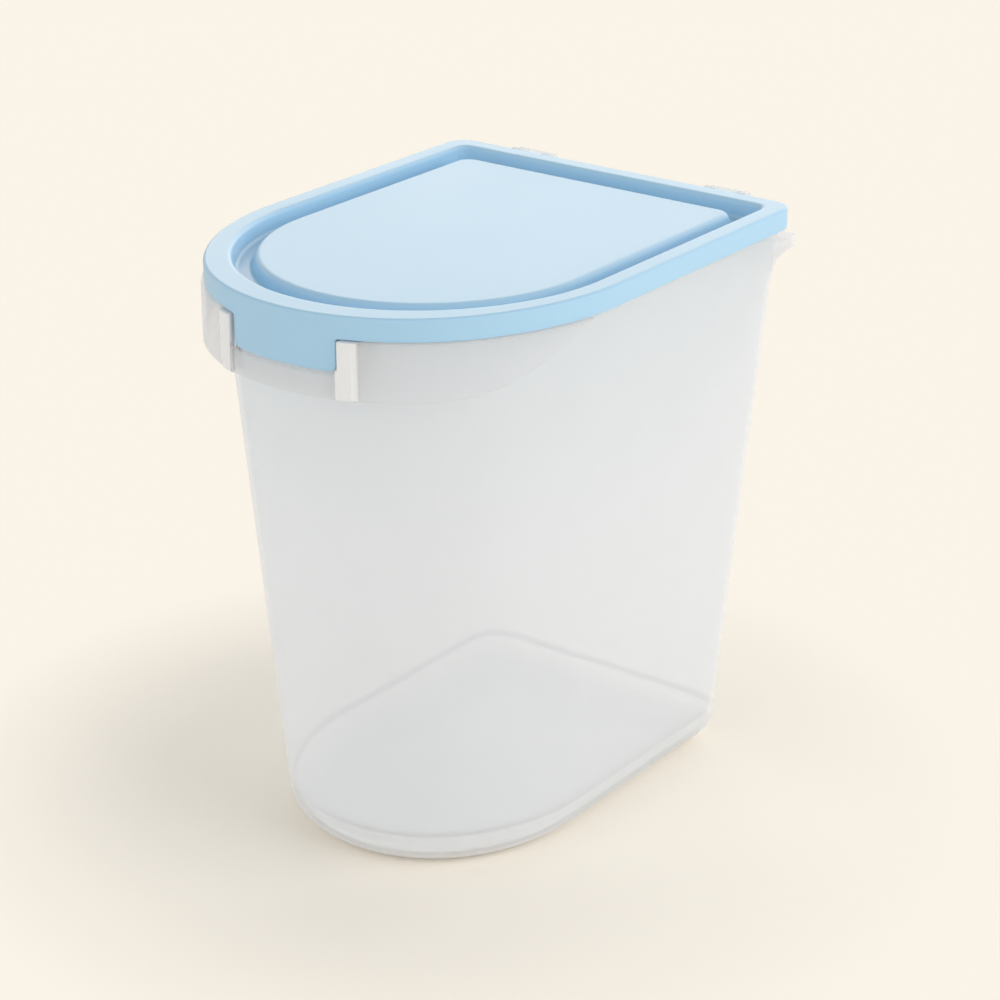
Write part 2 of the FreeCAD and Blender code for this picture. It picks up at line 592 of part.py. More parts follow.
def make_lid():
    """Rim, skirt, moat, panel and hinge knuckles in one moulding."""
    body = make_body("lid")
    sketch = outline_sketch(body, "lid_plan", SKIRT_Z, LID)
    extrude(body, "Pad", "block", sketch, "skirt_height")
    sketch = outline_sketch(body, "channel_plan", SKIRT_Z, LID.inset("skirt_wall"), SEAL)
    extrude(body, "Pocket", "channel", sketch, "skirt_height - lid_wall", reverse=True)
    top = outline_sketch(body, "rim_plan", "total_height", RIM)
    moat = outline_sketch(body, "moat_plan", MOAT_Z, RIM.inset("moat_draft"))
    loft(body, "SubtractiveLoft", "well", top, moat)
    spread = PANEL.inset("-panel_slope")
    foot = outline_sketch(body, "panel_foot_plan", MOAT_Z, spread)
    face = outline_sketch(body, "panel_plan", "total_height - panel_drop", PANEL)
    loft(body, "AdditiveLoft", "panel", foot, face)
    below = outline_sketch(body, "hollow_foot_plan", SKIRT_Z, spread.inset("lid_wall"))
    above = outline_sketch(body, "hollow_plan", "total_height - panel_drop - lid_wall", PANEL.inset("lid_wall"))
    loft(body, "SubtractiveLoft", "panel_hollow", below, above)
    rim_level = number("total_height")
    panel_level = number("total_height - panel_drop")
    round_edges(body, "rim_edges", "rim_round", lambda shape: level_face(shape, rim_level, 1).Edges)
    round_edges(body, "panel_edge", "panel_round", lambda shape: level_face(shape, panel_level, 1).Edges)
    for name, side in (("left", "-"), ("right", "")):
        add_knuckle(body, name, f"{side}{HINGE_X}")
    return body


def add_knuckle(body, name, place):
    """Barrel on a hinge pin and the web that joins it to the skirt."""
    inside = "lid_length / 2 - skirt_wall / 2"
    levels = (SKIRT_Z, f"{HINGE_Z} + web_rise")
    web = rectangle_sketch(body, f"web_{name}_side", "YZ_Plane", place, (inside, HINGE_Y), levels)
    extrude(body, "Pad", f"web_{name}", web, KNUCKLE_WIDTH, both=True)
    barrel = circle_sketch(body, f"barrel_{name}_side", place, "pin_radius + knuckle_wall")
    extrude(body, "Pad", f"barrel_{name}", barrel, KNUCKLE_WIDTH, both=True)
    bore = circle_sketch(body, f"bore_{name}_side", place, "pin_radius + pin_running")
    extrude(body, "Pocket", f"bore_{name}", bore, f"2 * ({KNUCKLE_WIDTH})", both=True)


def make_latch():
    """Curved tab that continues the skirt downwards, with a snap bead inside."""
    body = make_body("latch_tab")
    sides = ("-tab_width / 2", "tab_width / 2")
    inner = f"{NOSE} - skirt_wall"
    sketch = sector_sketch(body, "tab_plan", TAB_Z, inner, NOSE, *sides)
    extrude(body, "Pad", "tab", sketch, "tab_height")
    level = number(TAB_Z)
    half = number("tab_width / 2")
    round_edges(
        body,
        "tab_round",
        "tab_corner",
        lambda shape: [
            edge
            for edge in level_face(shape, level, -1).Edges
            if edge.BoundBox.XLength < 1e-3 and abs(abs(edge.BoundBox.XMin) - half) < 1e-3
        ],
    )
    proud = "(collar_gap - ridge_proud - snap_gap)"
    middle = ("-bead_width / 2", "bead_width / 2")
    sketch = sector_sketch(body, "bead_plan", BEAD_Z, f"{inner} - {proud}", f"{inner} + skirt_wall / 4", *middle)
    extrude(body, "Pad", "bead", sketch, "bead_height")
    return body


def make_gasket():
    """Sealing ring in the groove under the rim."""
    body = make_body("lid_gasket")
    outer = LID.inset("skirt_wall + gasket_side")
    inner = SEAL.inset("-gasket_side")
    sketch = outline_sketch(body, "ring_plan", "total_height - lid_wall - gasket_thick", outer, inner)
    extrude(body, "Pad", "ring", sketch, "gasket_thick")
    return body


def make_pin(name, side):
    """Headed pin through the two ears and the knuckle of one hinge."""
    body = make_body(name)
    middle = f"{side} * {HINGE_X}"
    shank = circle_sketch(body, f"{name}_shank_side", middle, "pin_radius")
    extrude(body, "Pad", f"{name}_shank", shank, "hinge_width", both=True)
    end = f"{side} * ({HINGE_X} + hinge_width / 2)"
    head = circle_sketch(body, f"{name}_head_side", end, "head_radius")
    extrude(body, "Pad", f"{name}_head", head, "head_thick", reverse=side == "-1")
    return body


pieces = [make_tub(), make_lid(), make_latch(), make_gasket()]
pieces += [make_pin("hinge_pin_left", "-1"), make_pin("hinge_pin_right", "1")]
doc.recompute()

for thing in doc.Objects:
    if {"Invalid", "Error"} & set(thing.State):
        raise RuntimeError(f"{thing.Label} failed: {thing.State}")
for piece in pieces:
    shape = piece.Shape
    if shape.isNull() or not shape.isValid() or len(shape.Solids) != 1:
        raise RuntimeError(f"{piece.Label} is not one valid solid")

os.makedirs("parts", exist_ok=True)
for piece in pieces:
    piece.Shape.exportStep(f"parts/{piece.Label}.step")
    print(f"{piece.Label}: {piece.Shape.Volume / 1000:.2f} cm3")
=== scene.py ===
# %% [markdown]
# # A pet food bin in frosted plastic
# The bin is a tapered, D-shaped tub of milky plastic. Its sky-blue lid swings on two hinges at the flat
# back and snaps shut with a tab at the round front.
# The CAD model settles every place and size. This lesson gives each moulding the soft edges and the
# finish of the real thing, in the same frame, so that the lid and the tab still move on their joints.

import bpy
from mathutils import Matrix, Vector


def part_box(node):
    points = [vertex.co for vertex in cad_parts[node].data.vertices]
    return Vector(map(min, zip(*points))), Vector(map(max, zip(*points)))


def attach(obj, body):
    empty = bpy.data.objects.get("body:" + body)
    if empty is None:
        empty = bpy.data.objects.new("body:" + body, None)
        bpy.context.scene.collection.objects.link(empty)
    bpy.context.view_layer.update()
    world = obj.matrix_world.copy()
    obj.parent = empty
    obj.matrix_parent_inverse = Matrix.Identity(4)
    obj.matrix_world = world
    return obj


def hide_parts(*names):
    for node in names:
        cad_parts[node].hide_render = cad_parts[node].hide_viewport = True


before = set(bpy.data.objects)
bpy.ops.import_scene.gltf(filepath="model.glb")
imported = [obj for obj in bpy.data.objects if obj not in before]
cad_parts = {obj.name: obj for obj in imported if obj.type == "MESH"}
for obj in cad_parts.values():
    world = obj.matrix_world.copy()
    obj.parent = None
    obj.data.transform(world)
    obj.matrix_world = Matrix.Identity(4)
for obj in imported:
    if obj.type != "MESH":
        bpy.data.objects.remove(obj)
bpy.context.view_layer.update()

# %% [markdown]
# ## Measures
# Mouldings are drawn in millimetres, so the sizes below are written that way and turned into metres when a
# mesh is made. The top of the lid and the tip of its round front are read from the CAD nodes. The rest
# repeats the sizes of the CAD source, because a scene can't read that file. Along Y, sizes count from the
# middle of the lid.

# %% Measures
import math
from typing import NamedTuple

import bmesh
import bpy
from mathutils import Vector

MM = 0.001
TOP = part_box("lid")[1].z / MM
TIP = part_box("latch_tab")[0].y / MM
LID_LENGTH = 285
MIDDLE = TIP + LID_LENGTH / 2
SKIRT = 300.5
WALL = 2.2
print(f"lid top {TOP:.1f}, skirt tip at y {TIP:.2f}, middle of the lid at y {MIDDLE:.2f}")

# %% [markdown]
# ## One outline for everything: the D
# Seen from above, each level of the bin is a D: a flat back with round corners, straight sides, and a
# front of three arcs. It could be a Bezier curve, but arcs with a fixed number of points per stretch are
# better here: point 20 of one D lies beside point 20 of the next, so skins between them have straight,
# even rows.

# %% Points along a stretch
STEPS = {"side": 8, "corner": 8, "back": 12, "flank": 14, "nose": 48}


def line_points(start, end, stretch):
    """Even points from start up to, but not at, the end."""
    count = STEPS[stretch]
    return [tuple(a + (b - a) * i / count for a, b in zip(start, end)) for i in range(count)]


def arc_points(centre, radius, first, last, stretch):
    """Even points along an arc, without its end."""
    count = STEPS[stretch]
    angles = [first + (last - first) * i / count for i in range(count)]
    return [(centre[0] + radius * math.cos(a), centre[1] + radius * math.sin(a)) for a in angles]


print("points on the arc at the tip:", STEPS["nose"])

# %% The D outline
LEAST_CORNER = 0.5


class Dee(NamedTuple):
    """A D in plan, in millimetres from the middle of the lid."""

    half: float  # half the width
    front: float  # from the middle to the tip
    back: float  # from the middle to the flat back
    ease: float  # half the width less the radius of the tip
    reach: float  # length of the round front less half the width
    corner: float  # radius of the back corners

    def inset(self, by):
        """The same D a constant distance further in."""
        corner = max(self.corner - by, LEAST_CORNER)
        return Dee(self.half - by, self.front - by, self.back - by, self.ease, self.reach, corner)

    def towards(self, other, share):
        """A D part of the way to another."""
        return Dee(*(a + (b - a) * share for a, b in zip(self, other)))

    def arcs(self):
        """Radius of the tip, radius of the flanks and the angle from the tip at which they meet."""
        nose = self.half - self.ease
        run = self.half + self.reach
        flank = (self.half**2 + (run - nose) ** 2 - nose**2) / (2 * self.ease)
        return nose, flank, math.pi / 2 - math.atan2(run - nose, flank - self.half)

    def ring(self, height):
        """Points round the D at a height, anticlockwise from where the right side begins."""
        nose, flank, meet = self.arcs()
        half, back, corner = self.half, self.back, self.corner
        start = half + self.reach - self.front
        quarter = math.pi / 2
        plan = [
            *line_points((half, start), (half, back - corner), "side"),
            *arc_points((half - corner, back - corner), corner, 0, quarter, "corner"),
            *line_points((half - corner, back), (corner - half, back), "back"),
            *arc_points((corner - half, back - corner), corner, quarter, 2 * quarter, "corner"),
            *line_points((-half, back - corner), (-half, start), "side"),
            *arc_points((flank - half, start), flank, 2 * quarter, 3 * quarter - meet, "flank"),
            *arc_points((0, nose - self.front), nose, 3 * quarter - meet, 3 * quarter + meet, "nose"),
            *arc_points((half - flank, start), flank, 3 * quarter + meet, 4 * quarter, "flank"),
        ]
        return [(x, y, height) for x, y in plan]


LID_HALF = 110
LID_REACH = 13
LID = Dee(half=LID_HALF, front=LID_LENGTH / 2, back=LID_LENGTH / 2, ease=6.6, reach=LID_REACH, corner=11)
print("points round each D:", len(LID.ring(TOP)))

# %% The other outlines
RIM = Dee(half=98.8, front=127, back=131.3, ease=5.8, reach=7.2, corner=6)
PANEL = Dee(half=87, front=112.5, back=118, ease=3, reach=3, corner=8)
COLLAR = Dee(half=106.4, front=138.9, back=138.1, ease=6.6, reach=LID_REACH, corner=7.4)
WAIST = Dee(half=106.4, front=131, back=138.1, ease=6.6, reach=LID_REACH, corner=10)
BASE = Dee(half=82, front=102, back=134, ease=5, reach=10, corner=22)
FOOT = Dee(half=60, front=80, back=112, ease=5, reach=10, corner=7)
print("the tub narrows from", 2 * WAIST.half, "to", 2 * BASE.half, "mm")

# %% [markdown]
# ## Soft corners
# No moulded edge is sharp. A Bevel modifier would round edges after the fact, but it stumbles where a
# narrow face meets a wide one. Here the cross-section is rounded before it is skinned: each corner of a
# polyline becomes an arc, with one more point just outside each end of it, so that smooth shading stays on
# the arc.

# %% Rounded cross-sections
LONGEST_CUT = 0.4
BESIDE = 1.2
LEAST_TANGENT = 0.01


def rounded(corners, closed=False, steps=4):
    """Points along a polyline of (across, up, radius) with round corners.

    An open polyline leaves out its two ends, which only give the first and the last direction.
    """
    if closed:
        corners = [corners[-1], *corners, corners[0]]
    points = []
    for before, here, after in zip(corners, corners[1:], corners[2:]):
        corner = Vector(here[:2])
        arms = [Vector(other[:2]) - corner for other in (before, after)]
        shortest = min(arm.length for arm in arms)
        turn = arms[0].angle(arms[1], math.pi)
        cut = min(here[2] / max(math.tan(turn / 2), LEAST_TANGENT), LONGEST_CUT * shortest)
        ends = [corner + arm.normalized() * cut for arm in arms]
        weight = math.sin(turn / 2)
        points.append(corner + arms[0].normalized() * cut * BESIDE)
        for step in range(steps + 1):
            t = step / steps
            shares = ((1 - t) ** 2, 2 * weight * t * (1 - t), t**2)
            mix = ends[0] * shares[0] + corner * shares[1] + ends[1] * shares[2]
            points.append(mix / sum(shares))
        points.append(corner + arms[1].normalized() * cut * BESIDE)
    return points


print("points on one round corner:", len(rounded([(0, 0, 0), (0, 5, 1), (5, 5, 0)])))

# %% [markdown]
# ## Wires: shader and geometry maths as Python
# Node trees get hard to read when every node takes five lines. The class below wraps one socket. Python's
# own operators on it add Math nodes, and one method adds any other node from its type, settings and
# sockets. It serves the materials and the geometry trees alike.


# %% The wire class
class Wire:
    """A socket of a node tree."""

    def __init__(self, tree, socket=None):
        self.tree = tree
        self.socket = socket

    def node(self, kind, settings=None, sockets=None, output=0):
        """Adds a node of a type: its settings first, then values or links for its sockets."""
        node = self.tree.nodes.new(kind)
        for name, value in (settings or {}).items():
            setattr(node, name, value)
        for name, value in (sockets or {}).items():
            if isinstance(value, Wire):
                self.tree.links.new(value.socket, node.inputs[name])
            else:
                node.inputs[name].default_value = value
        return Wire(self.tree, node.outputs[output] if node.outputs else None)

    def math(self, operation, *values):
        """A Math node on values or wires."""
        return self.node("ShaderNodeMath", {"operation": operation}, dict(enumerate(values)))

    def __add__(self, other):
        return self.math("ADD", self, other)

    __radd__ = __add__

    def __mul__(self, other):
        return self.math("MULTIPLY", self, other)

    __rmul__ = __mul__

    def __sub__(self, other):
        return self.math("SUBTRACT", self, other)

    def __rsub__(self, other):
        return self.math("SUBTRACT", other, self)

    def between(self, low, high):
        """0 below one value, 1 above another, and smooth in the middle."""
        settings = {"interpolation_type": "SMOOTHSTEP"}
        return self.node("ShaderNodeMapRange", settings, {"Value": self, "From Min": low, "From Max": high})


print("wire operators:", [name for name in vars(Wire) if name.startswith("__r")])

# %% [markdown]
# ## The loft tree
# Nearly every moulding here is a skin through rings: Ds stacked into a wall, or small sections strung along
# the front. A geometry tree makes that skin. It lays a grid with one column per point and one row per ring,
# moves each grid point to its ring point by index, and merges what coincides, which closes the seam and the
# poles. Building faces by hand in bmesh would do as well, but the tree keeps the rule in one place.


# %% How a tree starts and ends
def new_tree(name, inputs):
    """A geometry tree with named inputs, and a wire for each of them."""
    tree = bpy.data.node_groups.new(name, "GeometryNodeTree")
    for label, kind in {"Geometry": "NodeSocketGeometry", **inputs}.items():
        tree.interface.new_socket(label, in_out="INPUT", socket_type=kind)
    tree.interface.new_socket("Geometry", in_out="OUTPUT", socket_type="NodeSocketGeometry")
    start = tree.nodes.new("NodeGroupInput")
    return tree, {socket.name: Wire(tree, socket) for socket in start.outputs if socket.name}


def end_tree(geometry, material):
    """Ends a tree as real geometry with its material."""
    real = geometry.node("GeometryNodeRealizeInstances", None, {"Geometry": geometry})
    worn = real.node("GeometryNodeSetMaterial", None, {"Geometry": real, "Material": material})
    worn.node("NodeGroupOutput", None, {"Geometry": worn})


LOFT_INPUTS = {"Columns": "NodeSocketInt", "Rows": "NodeSocketInt", "Material": "NodeSocketMaterial"}
print("inputs of the loft tree:", ", ".join(LOFT_INPUTS))

# %% Build the loft tree
SAME_POINT = 0.002 * MM
# A little is added to each index, because a node cuts off what comes after the point.
PAST_INDEX = 0.25


def loft_tree():
    """A skin through rings of points, row by row."""
    tree, given = new_tree("Loft", LOFT_INPUTS)
    columns, rows = given["Columns"], given["Rows"]
    sizes = {"Size X": columns, "Size Y": rows - 1, "Vertices X": columns + 1, "Vertices Y": rows}
    grid = columns.node("GeometryNodeMeshGrid", None, sizes)
    place = grid.node("GeometryNodeInputPosition")
    column = place.node("ShaderNodeSeparateXYZ", None, {0: place}, "X") + columns * 0.5
    row = place.node("ShaderNodeSeparateXYZ", None, {0: place}, "Y") + (rows - 1) * 0.5
    wrapped = column.math("FLOORED_MODULO", column.math("ROUND", column), columns)
    index = row.math("ROUND", row) * columns + wrapped
    found = index.node(
        "GeometryNodeSampleIndex",
        {"data_type": "FLOAT_VECTOR", "domain": "POINT"},
        {"Geometry": given["Geometry"], "Value": place, "Index": index + PAST_INDEX},
    )
    skin = grid.node("GeometryNodeSetPosition", None, {"Geometry": grid, "Position": found})
    merged = skin.node("GeometryNodeMergeByDistance", None, {"Geometry": skin, "Distance": SAME_POINT})
    end_tree(merged, given["Material"])
    return tree


LOFT = loft_tree()
print("loft tree:", len(LOFT.nodes), "nodes")

# %% [markdown]
# ## From tree to mesh
# A modifier's result lives only in the evaluated scene. To hand it on, it is copied to a plain mesh and the
# helper object is thrown away. Normals are worked out again on the closed skin, and edges sharper than the
# steps of a round corner are marked sharp, so that flat faces stay flat in the light.


# %% Run a tree
def in_frame(point):
    """A point in millimetres from the middle of the lid, as metres in the CAD frame."""
    return (point[0] * MM, (point[1] + MIDDLE) * MM, point[2] * MM)


def in_scene(name, data):
    """A new object in the scene."""
    thing = bpy.data.objects.new(name, data)
    bpy.context.scene.collection.objects.link(thing)
    return thing


def run_tree(name, mesh, tree, values):
    """The mesh that a geometry tree makes from another, with the tree's inputs set by identifier."""
    helper = in_scene(name, mesh)
    modifier = helper.modifiers.new("Nodes", "NODES")
    modifier.node_group = tree
    for socket in tree.interface.items_tree:
        if socket.in_out == "INPUT" and socket.name in values:
            modifier[socket.identifier] = values[socket.name]
    shown = helper.evaluated_get(bpy.context.evaluated_depsgraph_get())
    made = bpy.data.meshes.new_from_object(shown)
    bpy.data.objects.remove(helper)
    made.materials.clear()
    made.materials.append(values["Material"])
    made.polygons.foreach_set("material_index", [0] * len(made.polygons))
    return made


print("tip of the lid in the frame:", [round(place, 4) for place in in_frame((0, -LID.front, TOP))])

# %% Closed skins
SLIVER = 0.001 * MM


def face_outwards(mesh):
    """Turns the faces of closed skins outwards and removes slivers."""
    shape = bmesh.new()
    shape.from_mesh(mesh)
    bmesh.ops.dissolve_degenerate(shape, dist=SLIVER, edges=shape.edges)
    bmesh.ops.recalc_face_normals(shape, faces=shape.faces)
    shape.to_mesh(mesh)
    shape.free()
    return mesh


def loft(name, rings, material):
    """A closed skin through rings of equally many points."""
    points = bpy.data.meshes.new(name)
    points.from_pydata([in_frame(point) for ring in rings for point in ring], [], [])
    values = {"Columns": len(rings[0]), "Rows": len(rings), "Material": material}
    return face_outwards(run_tree(name, points, LOFT, values))


def pole(ring, point=None):
    """A ring drawn together to one point, its own middle if none is given."""
    middle = point or tuple(sum(place) / len(ring) for place in zip(*ring))
    return [middle] * len(ring)


def capped(rings):
    """Rings with a pole at each end."""
    return [pole(rings[0]), *rings, pole(rings[-1])]


print("two rings with their poles:", len(capped([LID.ring(SKIRT), LID.ring(TOP)])))

# %% Pieces that ride on a body
SHARP = math.radians(38)


def joined(name, meshes):
    """Several meshes as one."""
    shape = bmesh.new()
    for mesh in meshes:
        shape.from_mesh(mesh)
    whole = bpy.data.meshes.new(name)
    shape.to_mesh(whole)
    shape.free()
    return whole


def assemble(name, meshes, body, nodes):
    """One piece from several meshes that are one moulding, riding on a body in place of CAD nodes."""
    whole = joined(name, meshes)
    whole.materials.append(meshes[0].materials[0])
    whole.shade_smooth()
    whole.set_sharp_from_angle(angle=SHARP)
    piece = in_scene(name, whole)
    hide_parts(*nodes)
    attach(piece, body)
    print(f"{name}: {len(whole.polygons)} faces from {len(meshes)} meshes")
    return piece


# %% [markdown]
# ## Frosted plastic
# The tub is unpigmented plastic with a fine satin skin. It sends back much of the light, lets some through
# scattered, and shows what is behind it only faintly. A glass shader with a rough surface could do that,
# but it is slow and noisy in a box of two walls. Three plain shaders mixed give the same look: a satin
# surface, a Translucent one for the scattered light, and a Transparent one for what passes straight.
# The share that passes clouds slowly over the wall. It closes up where the moulding is thick, in the base,
# the floor and the ribs beside the latch. A painted shade line, grey and less see-through, follows the step
# on the inside of the base. Masks on Object coordinates find these places, and the painted shade line also
# reads an attribute of the tub's mesh that is 1 on the inside.

# %% Helpers for materials
GRAIN_DEPTH = 0.0002
GRAIN_DETAIL = 3


def new_material(name):
    """A material with an empty tree, and a wire for Object coordinates."""
    material = bpy.data.materials.new(name)
    material.use_nodes = True
    material.node_tree.nodes.clear()
    place = Wire(material.node_tree).node("ShaderNodeTexCoord", output="Object")
    return material, place


def end_material(material, surface):
    """Ends a material's tree with the shader that is seen."""
    surface.node("ShaderNodeOutputMaterial", None, {"Surface": surface})
    return material


def noise(place, scale, detail=2.0):
    """A noise over the surface, with its scale in cells per metre."""
    return place.node("ShaderNodeTexNoise", None, {"Vector": place, "Scale": scale, "Detail": detail})


def grain_bump(place, scale, strength):
    """The fine grain of a moulded skin, as a bump."""
    sockets = {"Strength": strength, "Distance": GRAIN_DEPTH, "Height": noise(place, scale, GRAIN_DETAIL)}
    return place.node("ShaderNodeBump", None, sockets)


def tint(share, low, high):
    """A colour between two, by a share. Sockets 0, 6 and 7 of a Mix node are its factor and two colours."""
    low, high = (end if isinstance(end, Wire) else (*end, 1) for end in (low, high))
    return share.node("ShaderNodeMix", {"data_type": "RGBA"}, {0: share, 6: low, 7: high}, 2)


# %% Where the frosted plastic changes
# Each pair is in metres: where a mask starts to rise, and where it is full.
RIB_STARTS = (0.0320, 0.0330)
RIB_ENDS = (0.0418, 0.0432)
RIB_BEHIND = (-0.13, -0.12)
RIB_ABOVE = (0.268, 0.272)
BASE_ENDS = (0.0190, 0.0212)
FLOOR_ENDS = (0.003, 0.012)
# Heights of the painted shade line along the step inside the base.
SHADE_LINE_STARTS = (0.0165, 0.0190)
SHADE_LINE_ENDS = (0.0202, 0.0232)


def frosted_masks(place):
    """Masks for the ribs, the thick base, the floor and the painted shade line on the inside."""
    across, along, height = (place.node("ShaderNodeSeparateXYZ", None, {0: place}, axis) for axis in "XYZ")
    across = across.math("ABSOLUTE", across)
    rib = across.between(*RIB_STARTS) * (1 - across.between(*RIB_ENDS)) * (1 - along.between(*RIB_BEHIND))
    rib = rib * height.between(*RIB_ABOVE)
    base = 1 - height.between(*BASE_ENDS)
    floor = 1 - height.between(*FLOOR_ENDS)
    # Painted shade: a band on the inside of the wall, along the step inside the base.
    inside = place.node("ShaderNodeAttribute", {"attribute_name": "inside"}, output="Fac")
    line = inside * height.between(*SHADE_LINE_STARTS) * (1 - height.between(*SHADE_LINE_ENDS))
    return rib, base, floor, line


print("line on the inside from", SHADE_LINE_STARTS[0] / MM, "to", SHADE_LINE_ENDS[1] / MM, "mm above the floor")

# %% Frosted plastic material
MILK = ((0.94, 0.943, 0.95), (0.965, 0.968, 0.972))
# Painted shade: the grey of the line along the step inside the base.
SHADE_LINE_GREY = (0.45, 0.46, 0.48)
GLOW = (0.95, 0.953, 0.956, 1)
CLEAR = (0.96, 0.969, 0.985, 1)
PLASTIC_IOR = 1.49


def frosted_plastic():
    """Milky, faintly see-through plastic."""
    material, place = new_material("frosted_plastic")
    rib, base, floor, line = frosted_masks(place)
    cloud = noise(place, scale=9)
    skin = {
        # Painted shade: the base colour turns grey along the step inside the base.
        "Base Color": tint(0.8 * line, tint(cloud, *MILK), SHADE_LINE_GREY),
        "Roughness": 0.32 + 0.12 * cloud,
        "Normal": grain_bump(place, scale=1300, strength=0.05),
        "IOR": PLASTIC_IOR,
    }
    satin = place.node("ShaderNodeBsdfPrincipled", None, skin)
    glow = place.node("ShaderNodeBsdfTranslucent", None, {"Color": GLOW})
    clear = place.node("ShaderNodeBsdfTransparent", None, {"Color": CLEAR})
    # Less scattered and less passed light along the painted shade line, so that it stays dark.
    scattered = 0.5 - 0.48 * rib - 0.40 * floor - 0.3 * line
    milky = place.node("ShaderNodeMixShader", None, {0: scattered, 1: satin, 2: glow})
    passed = (0.46 + 0.12 * cloud) * (1 - 0.45 * base) * (1 - 0.9 * rib)
    passed = passed * (1 - 0.6 * floor) * (1 - 0.5 * line)
    seen = place.node("ShaderNodeMixShader", None, {0: passed, 1: milky, 2: clear})
    return end_material(material, seen)


FROSTED = frosted_plastic()
print("frosted plastic:", len(FROSTED.node_tree.nodes), "nodes")

# %% [markdown]
# ## Sky-blue plastic
# The lid is the same kind of plastic with a pigment. Its skin is smoother than the tub's, so it takes a
# soft sheen on the rim and the panel. One flat colour would look like paper. Pigment never spreads quite
# evenly in a mould, so the colour drifts a little, and the grain is finer and fainter than the tub's.

# %% Sky-blue plastic material
SKY_BLUE = ((0.41, 0.67, 0.875), (0.45, 0.70, 0.895))


def blue_plastic():
    """Satin, pigmented plastic."""
    material, place = new_material("blue_plastic")
    drift = noise(place, scale=14)
    skin = {
        "Base Color": tint(drift, *SKY_BLUE),
        "Roughness": 0.30 + 0.10 * drift,
        "Normal": grain_bump(place, scale=1600, strength=0.04),
        "IOR": PLASTIC_IOR,
        "Coat Weight": 0.2,
        "Coat Roughness": 0.2,
    }
    return end_material(material, place.node("ShaderNodeBsdfPrincipled", None, skin))


BLUE = blue_plastic()
print("blue plastic:", len(BLUE.node_tree.nodes), "nodes")

# %% [markdown]
# ## Silicone and pin plastic
# The sealing ring is soft, milky silicone with no gloss, and the hinge pins are plain grey-white rod. Both
# are small, so a mottled colour and a dull skin are enough, and one function makes the two.


# %% Small materials
def dull(name, low, high, rough, scale):
    """A dull finish with a mottled colour."""
    material, place = new_material(name)
    spots = noise(place, scale)
    skin = {"Base Color": tint(spots, low, high), "Roughness": rough + 0.1 * spots}
    return end_material(material, place.node("ShaderNodeBsdfPrincipled", None, skin))


SILICONE = dull("seal_silicone", (0.72, 0.76, 0.79), (0.80, 0.83, 0.85), rough=0.5, scale=60)
PIN = dull("pin_plastic", (0.56, 0.58, 0.60), (0.66, 0.68, 0.70), rough=0.4, scale=300)
print("small finishes:", SILICONE.name, PIN.name)

# %% [markdown]
# ## The lid
# The lid is one moulding: a raised rim with a short skirt, a moat, and a flat panel. Walked from the middle
# of its underside to the middle of its top, its cross-section passes the hollow under the panel, the groove
# for the seal, the skirt, the rim, the moat and the panel. Each stretch keeps its distance from one D, so
# the rings are insets of that D. That is quicker to read than a box cut with booleans, and every edge gets
# its own round. The skirt's lower edge is left nearly sharp where the latch tab continues it.

# %% Groove and skirt
SEAL_IN = 8.6
TAB_HALF = 31.25
SKIRT_EDGE = 0.5
TAB_EDGE = 0.05
TAB_BESIDE = 0.5


def dee_rings(outline, corners, steps=4):
    """Rings along a cross-section that is given as insets of one D."""
    return [outline.inset(across).ring(up) for across, up in rounded(corners, steps=steps)]


def skirt_rings(edge):
    """Groove and skirt, with a given round on the lower edge of the skirt."""
    corners = (
        (SEAL_IN + 4, SKIRT, 0),
        (SEAL_IN, SKIRT, 0.6),
        (SEAL_IN, TOP - WALL, 0.4),
        (WALL, TOP - WALL, 0.4),
        (WALL, SKIRT, edge),
        (0, SKIRT, edge),
        (0, TOP, 1.6),
        (8, TOP, 0),
    )
    return dee_rings(LID, corners)


def beside_tab(point):
    """True on the stretch of the skirt that carries the latch tab."""
    return abs(point[0]) < TAB_HALF + TAB_BESIDE and point[1] < 0


skirt = []
for soft_ring, sharp_ring in zip(skirt_rings(SKIRT_EDGE), skirt_rings(TAB_EDGE)):
    skirt.append([sharp if beside_tab(sharp) else soft for soft, sharp in zip(soft_ring, sharp_ring)])
print("rings of the skirt:", len(skirt))

# %% Lid shell
PANEL_TOP = TOP - 2
MOAT = SKIRT + WALL
SLOPE = 3
MOAT_DRAFT = 1.5


def lid_shell():
    """Underside, skirt, rim, moat and panel as one closed skin."""
    ceiling = PANEL_TOP - WALL
    low = WALL - SLOPE
    hollow = ((WALL + 15, ceiling, 0), (WALL, ceiling, 1.5), (low, SKIRT, 0.8), (low - 4, SKIRT, 0))
    moat = ((-6, TOP, 0), (0, TOP, 2.4), (MOAT_DRAFT, MOAT, 2.6), (6, MOAT, 0))
    panel = ((-6, MOAT, 0), (-SLOPE, MOAT, 2.2), (0, PANEL_TOP, 3.4), (15, PANEL_TOP, 0))
    rings = [*dee_rings(PANEL, hollow), *skirt, *dee_rings(RIM, moat), *dee_rings(PANEL, panel)]
    return loft("lid_shell", capped(rings), BLUE)


lid_mesh = lid_shell()
print("lid shell:", len(lid_mesh.polygons), "faces")

# %% [markdown]
# ## Hinge knuckles
# Two knuckles at the back of the lid turn on the pins. Each is a barrel with a bore, joined to the skirt by
# a web. Both could be modelled twice, or mirrored. Here one is made at the middle of the hinge axis, and a
# small tree sets two copies of it at the same distance either side of the middle. The same tree sets the
# towers of the tub, so the two always line up.

# %% Two of a kind
HINGE_X = 63.5
HINGE_Y = 148.2
HINGE_Z = 305.5


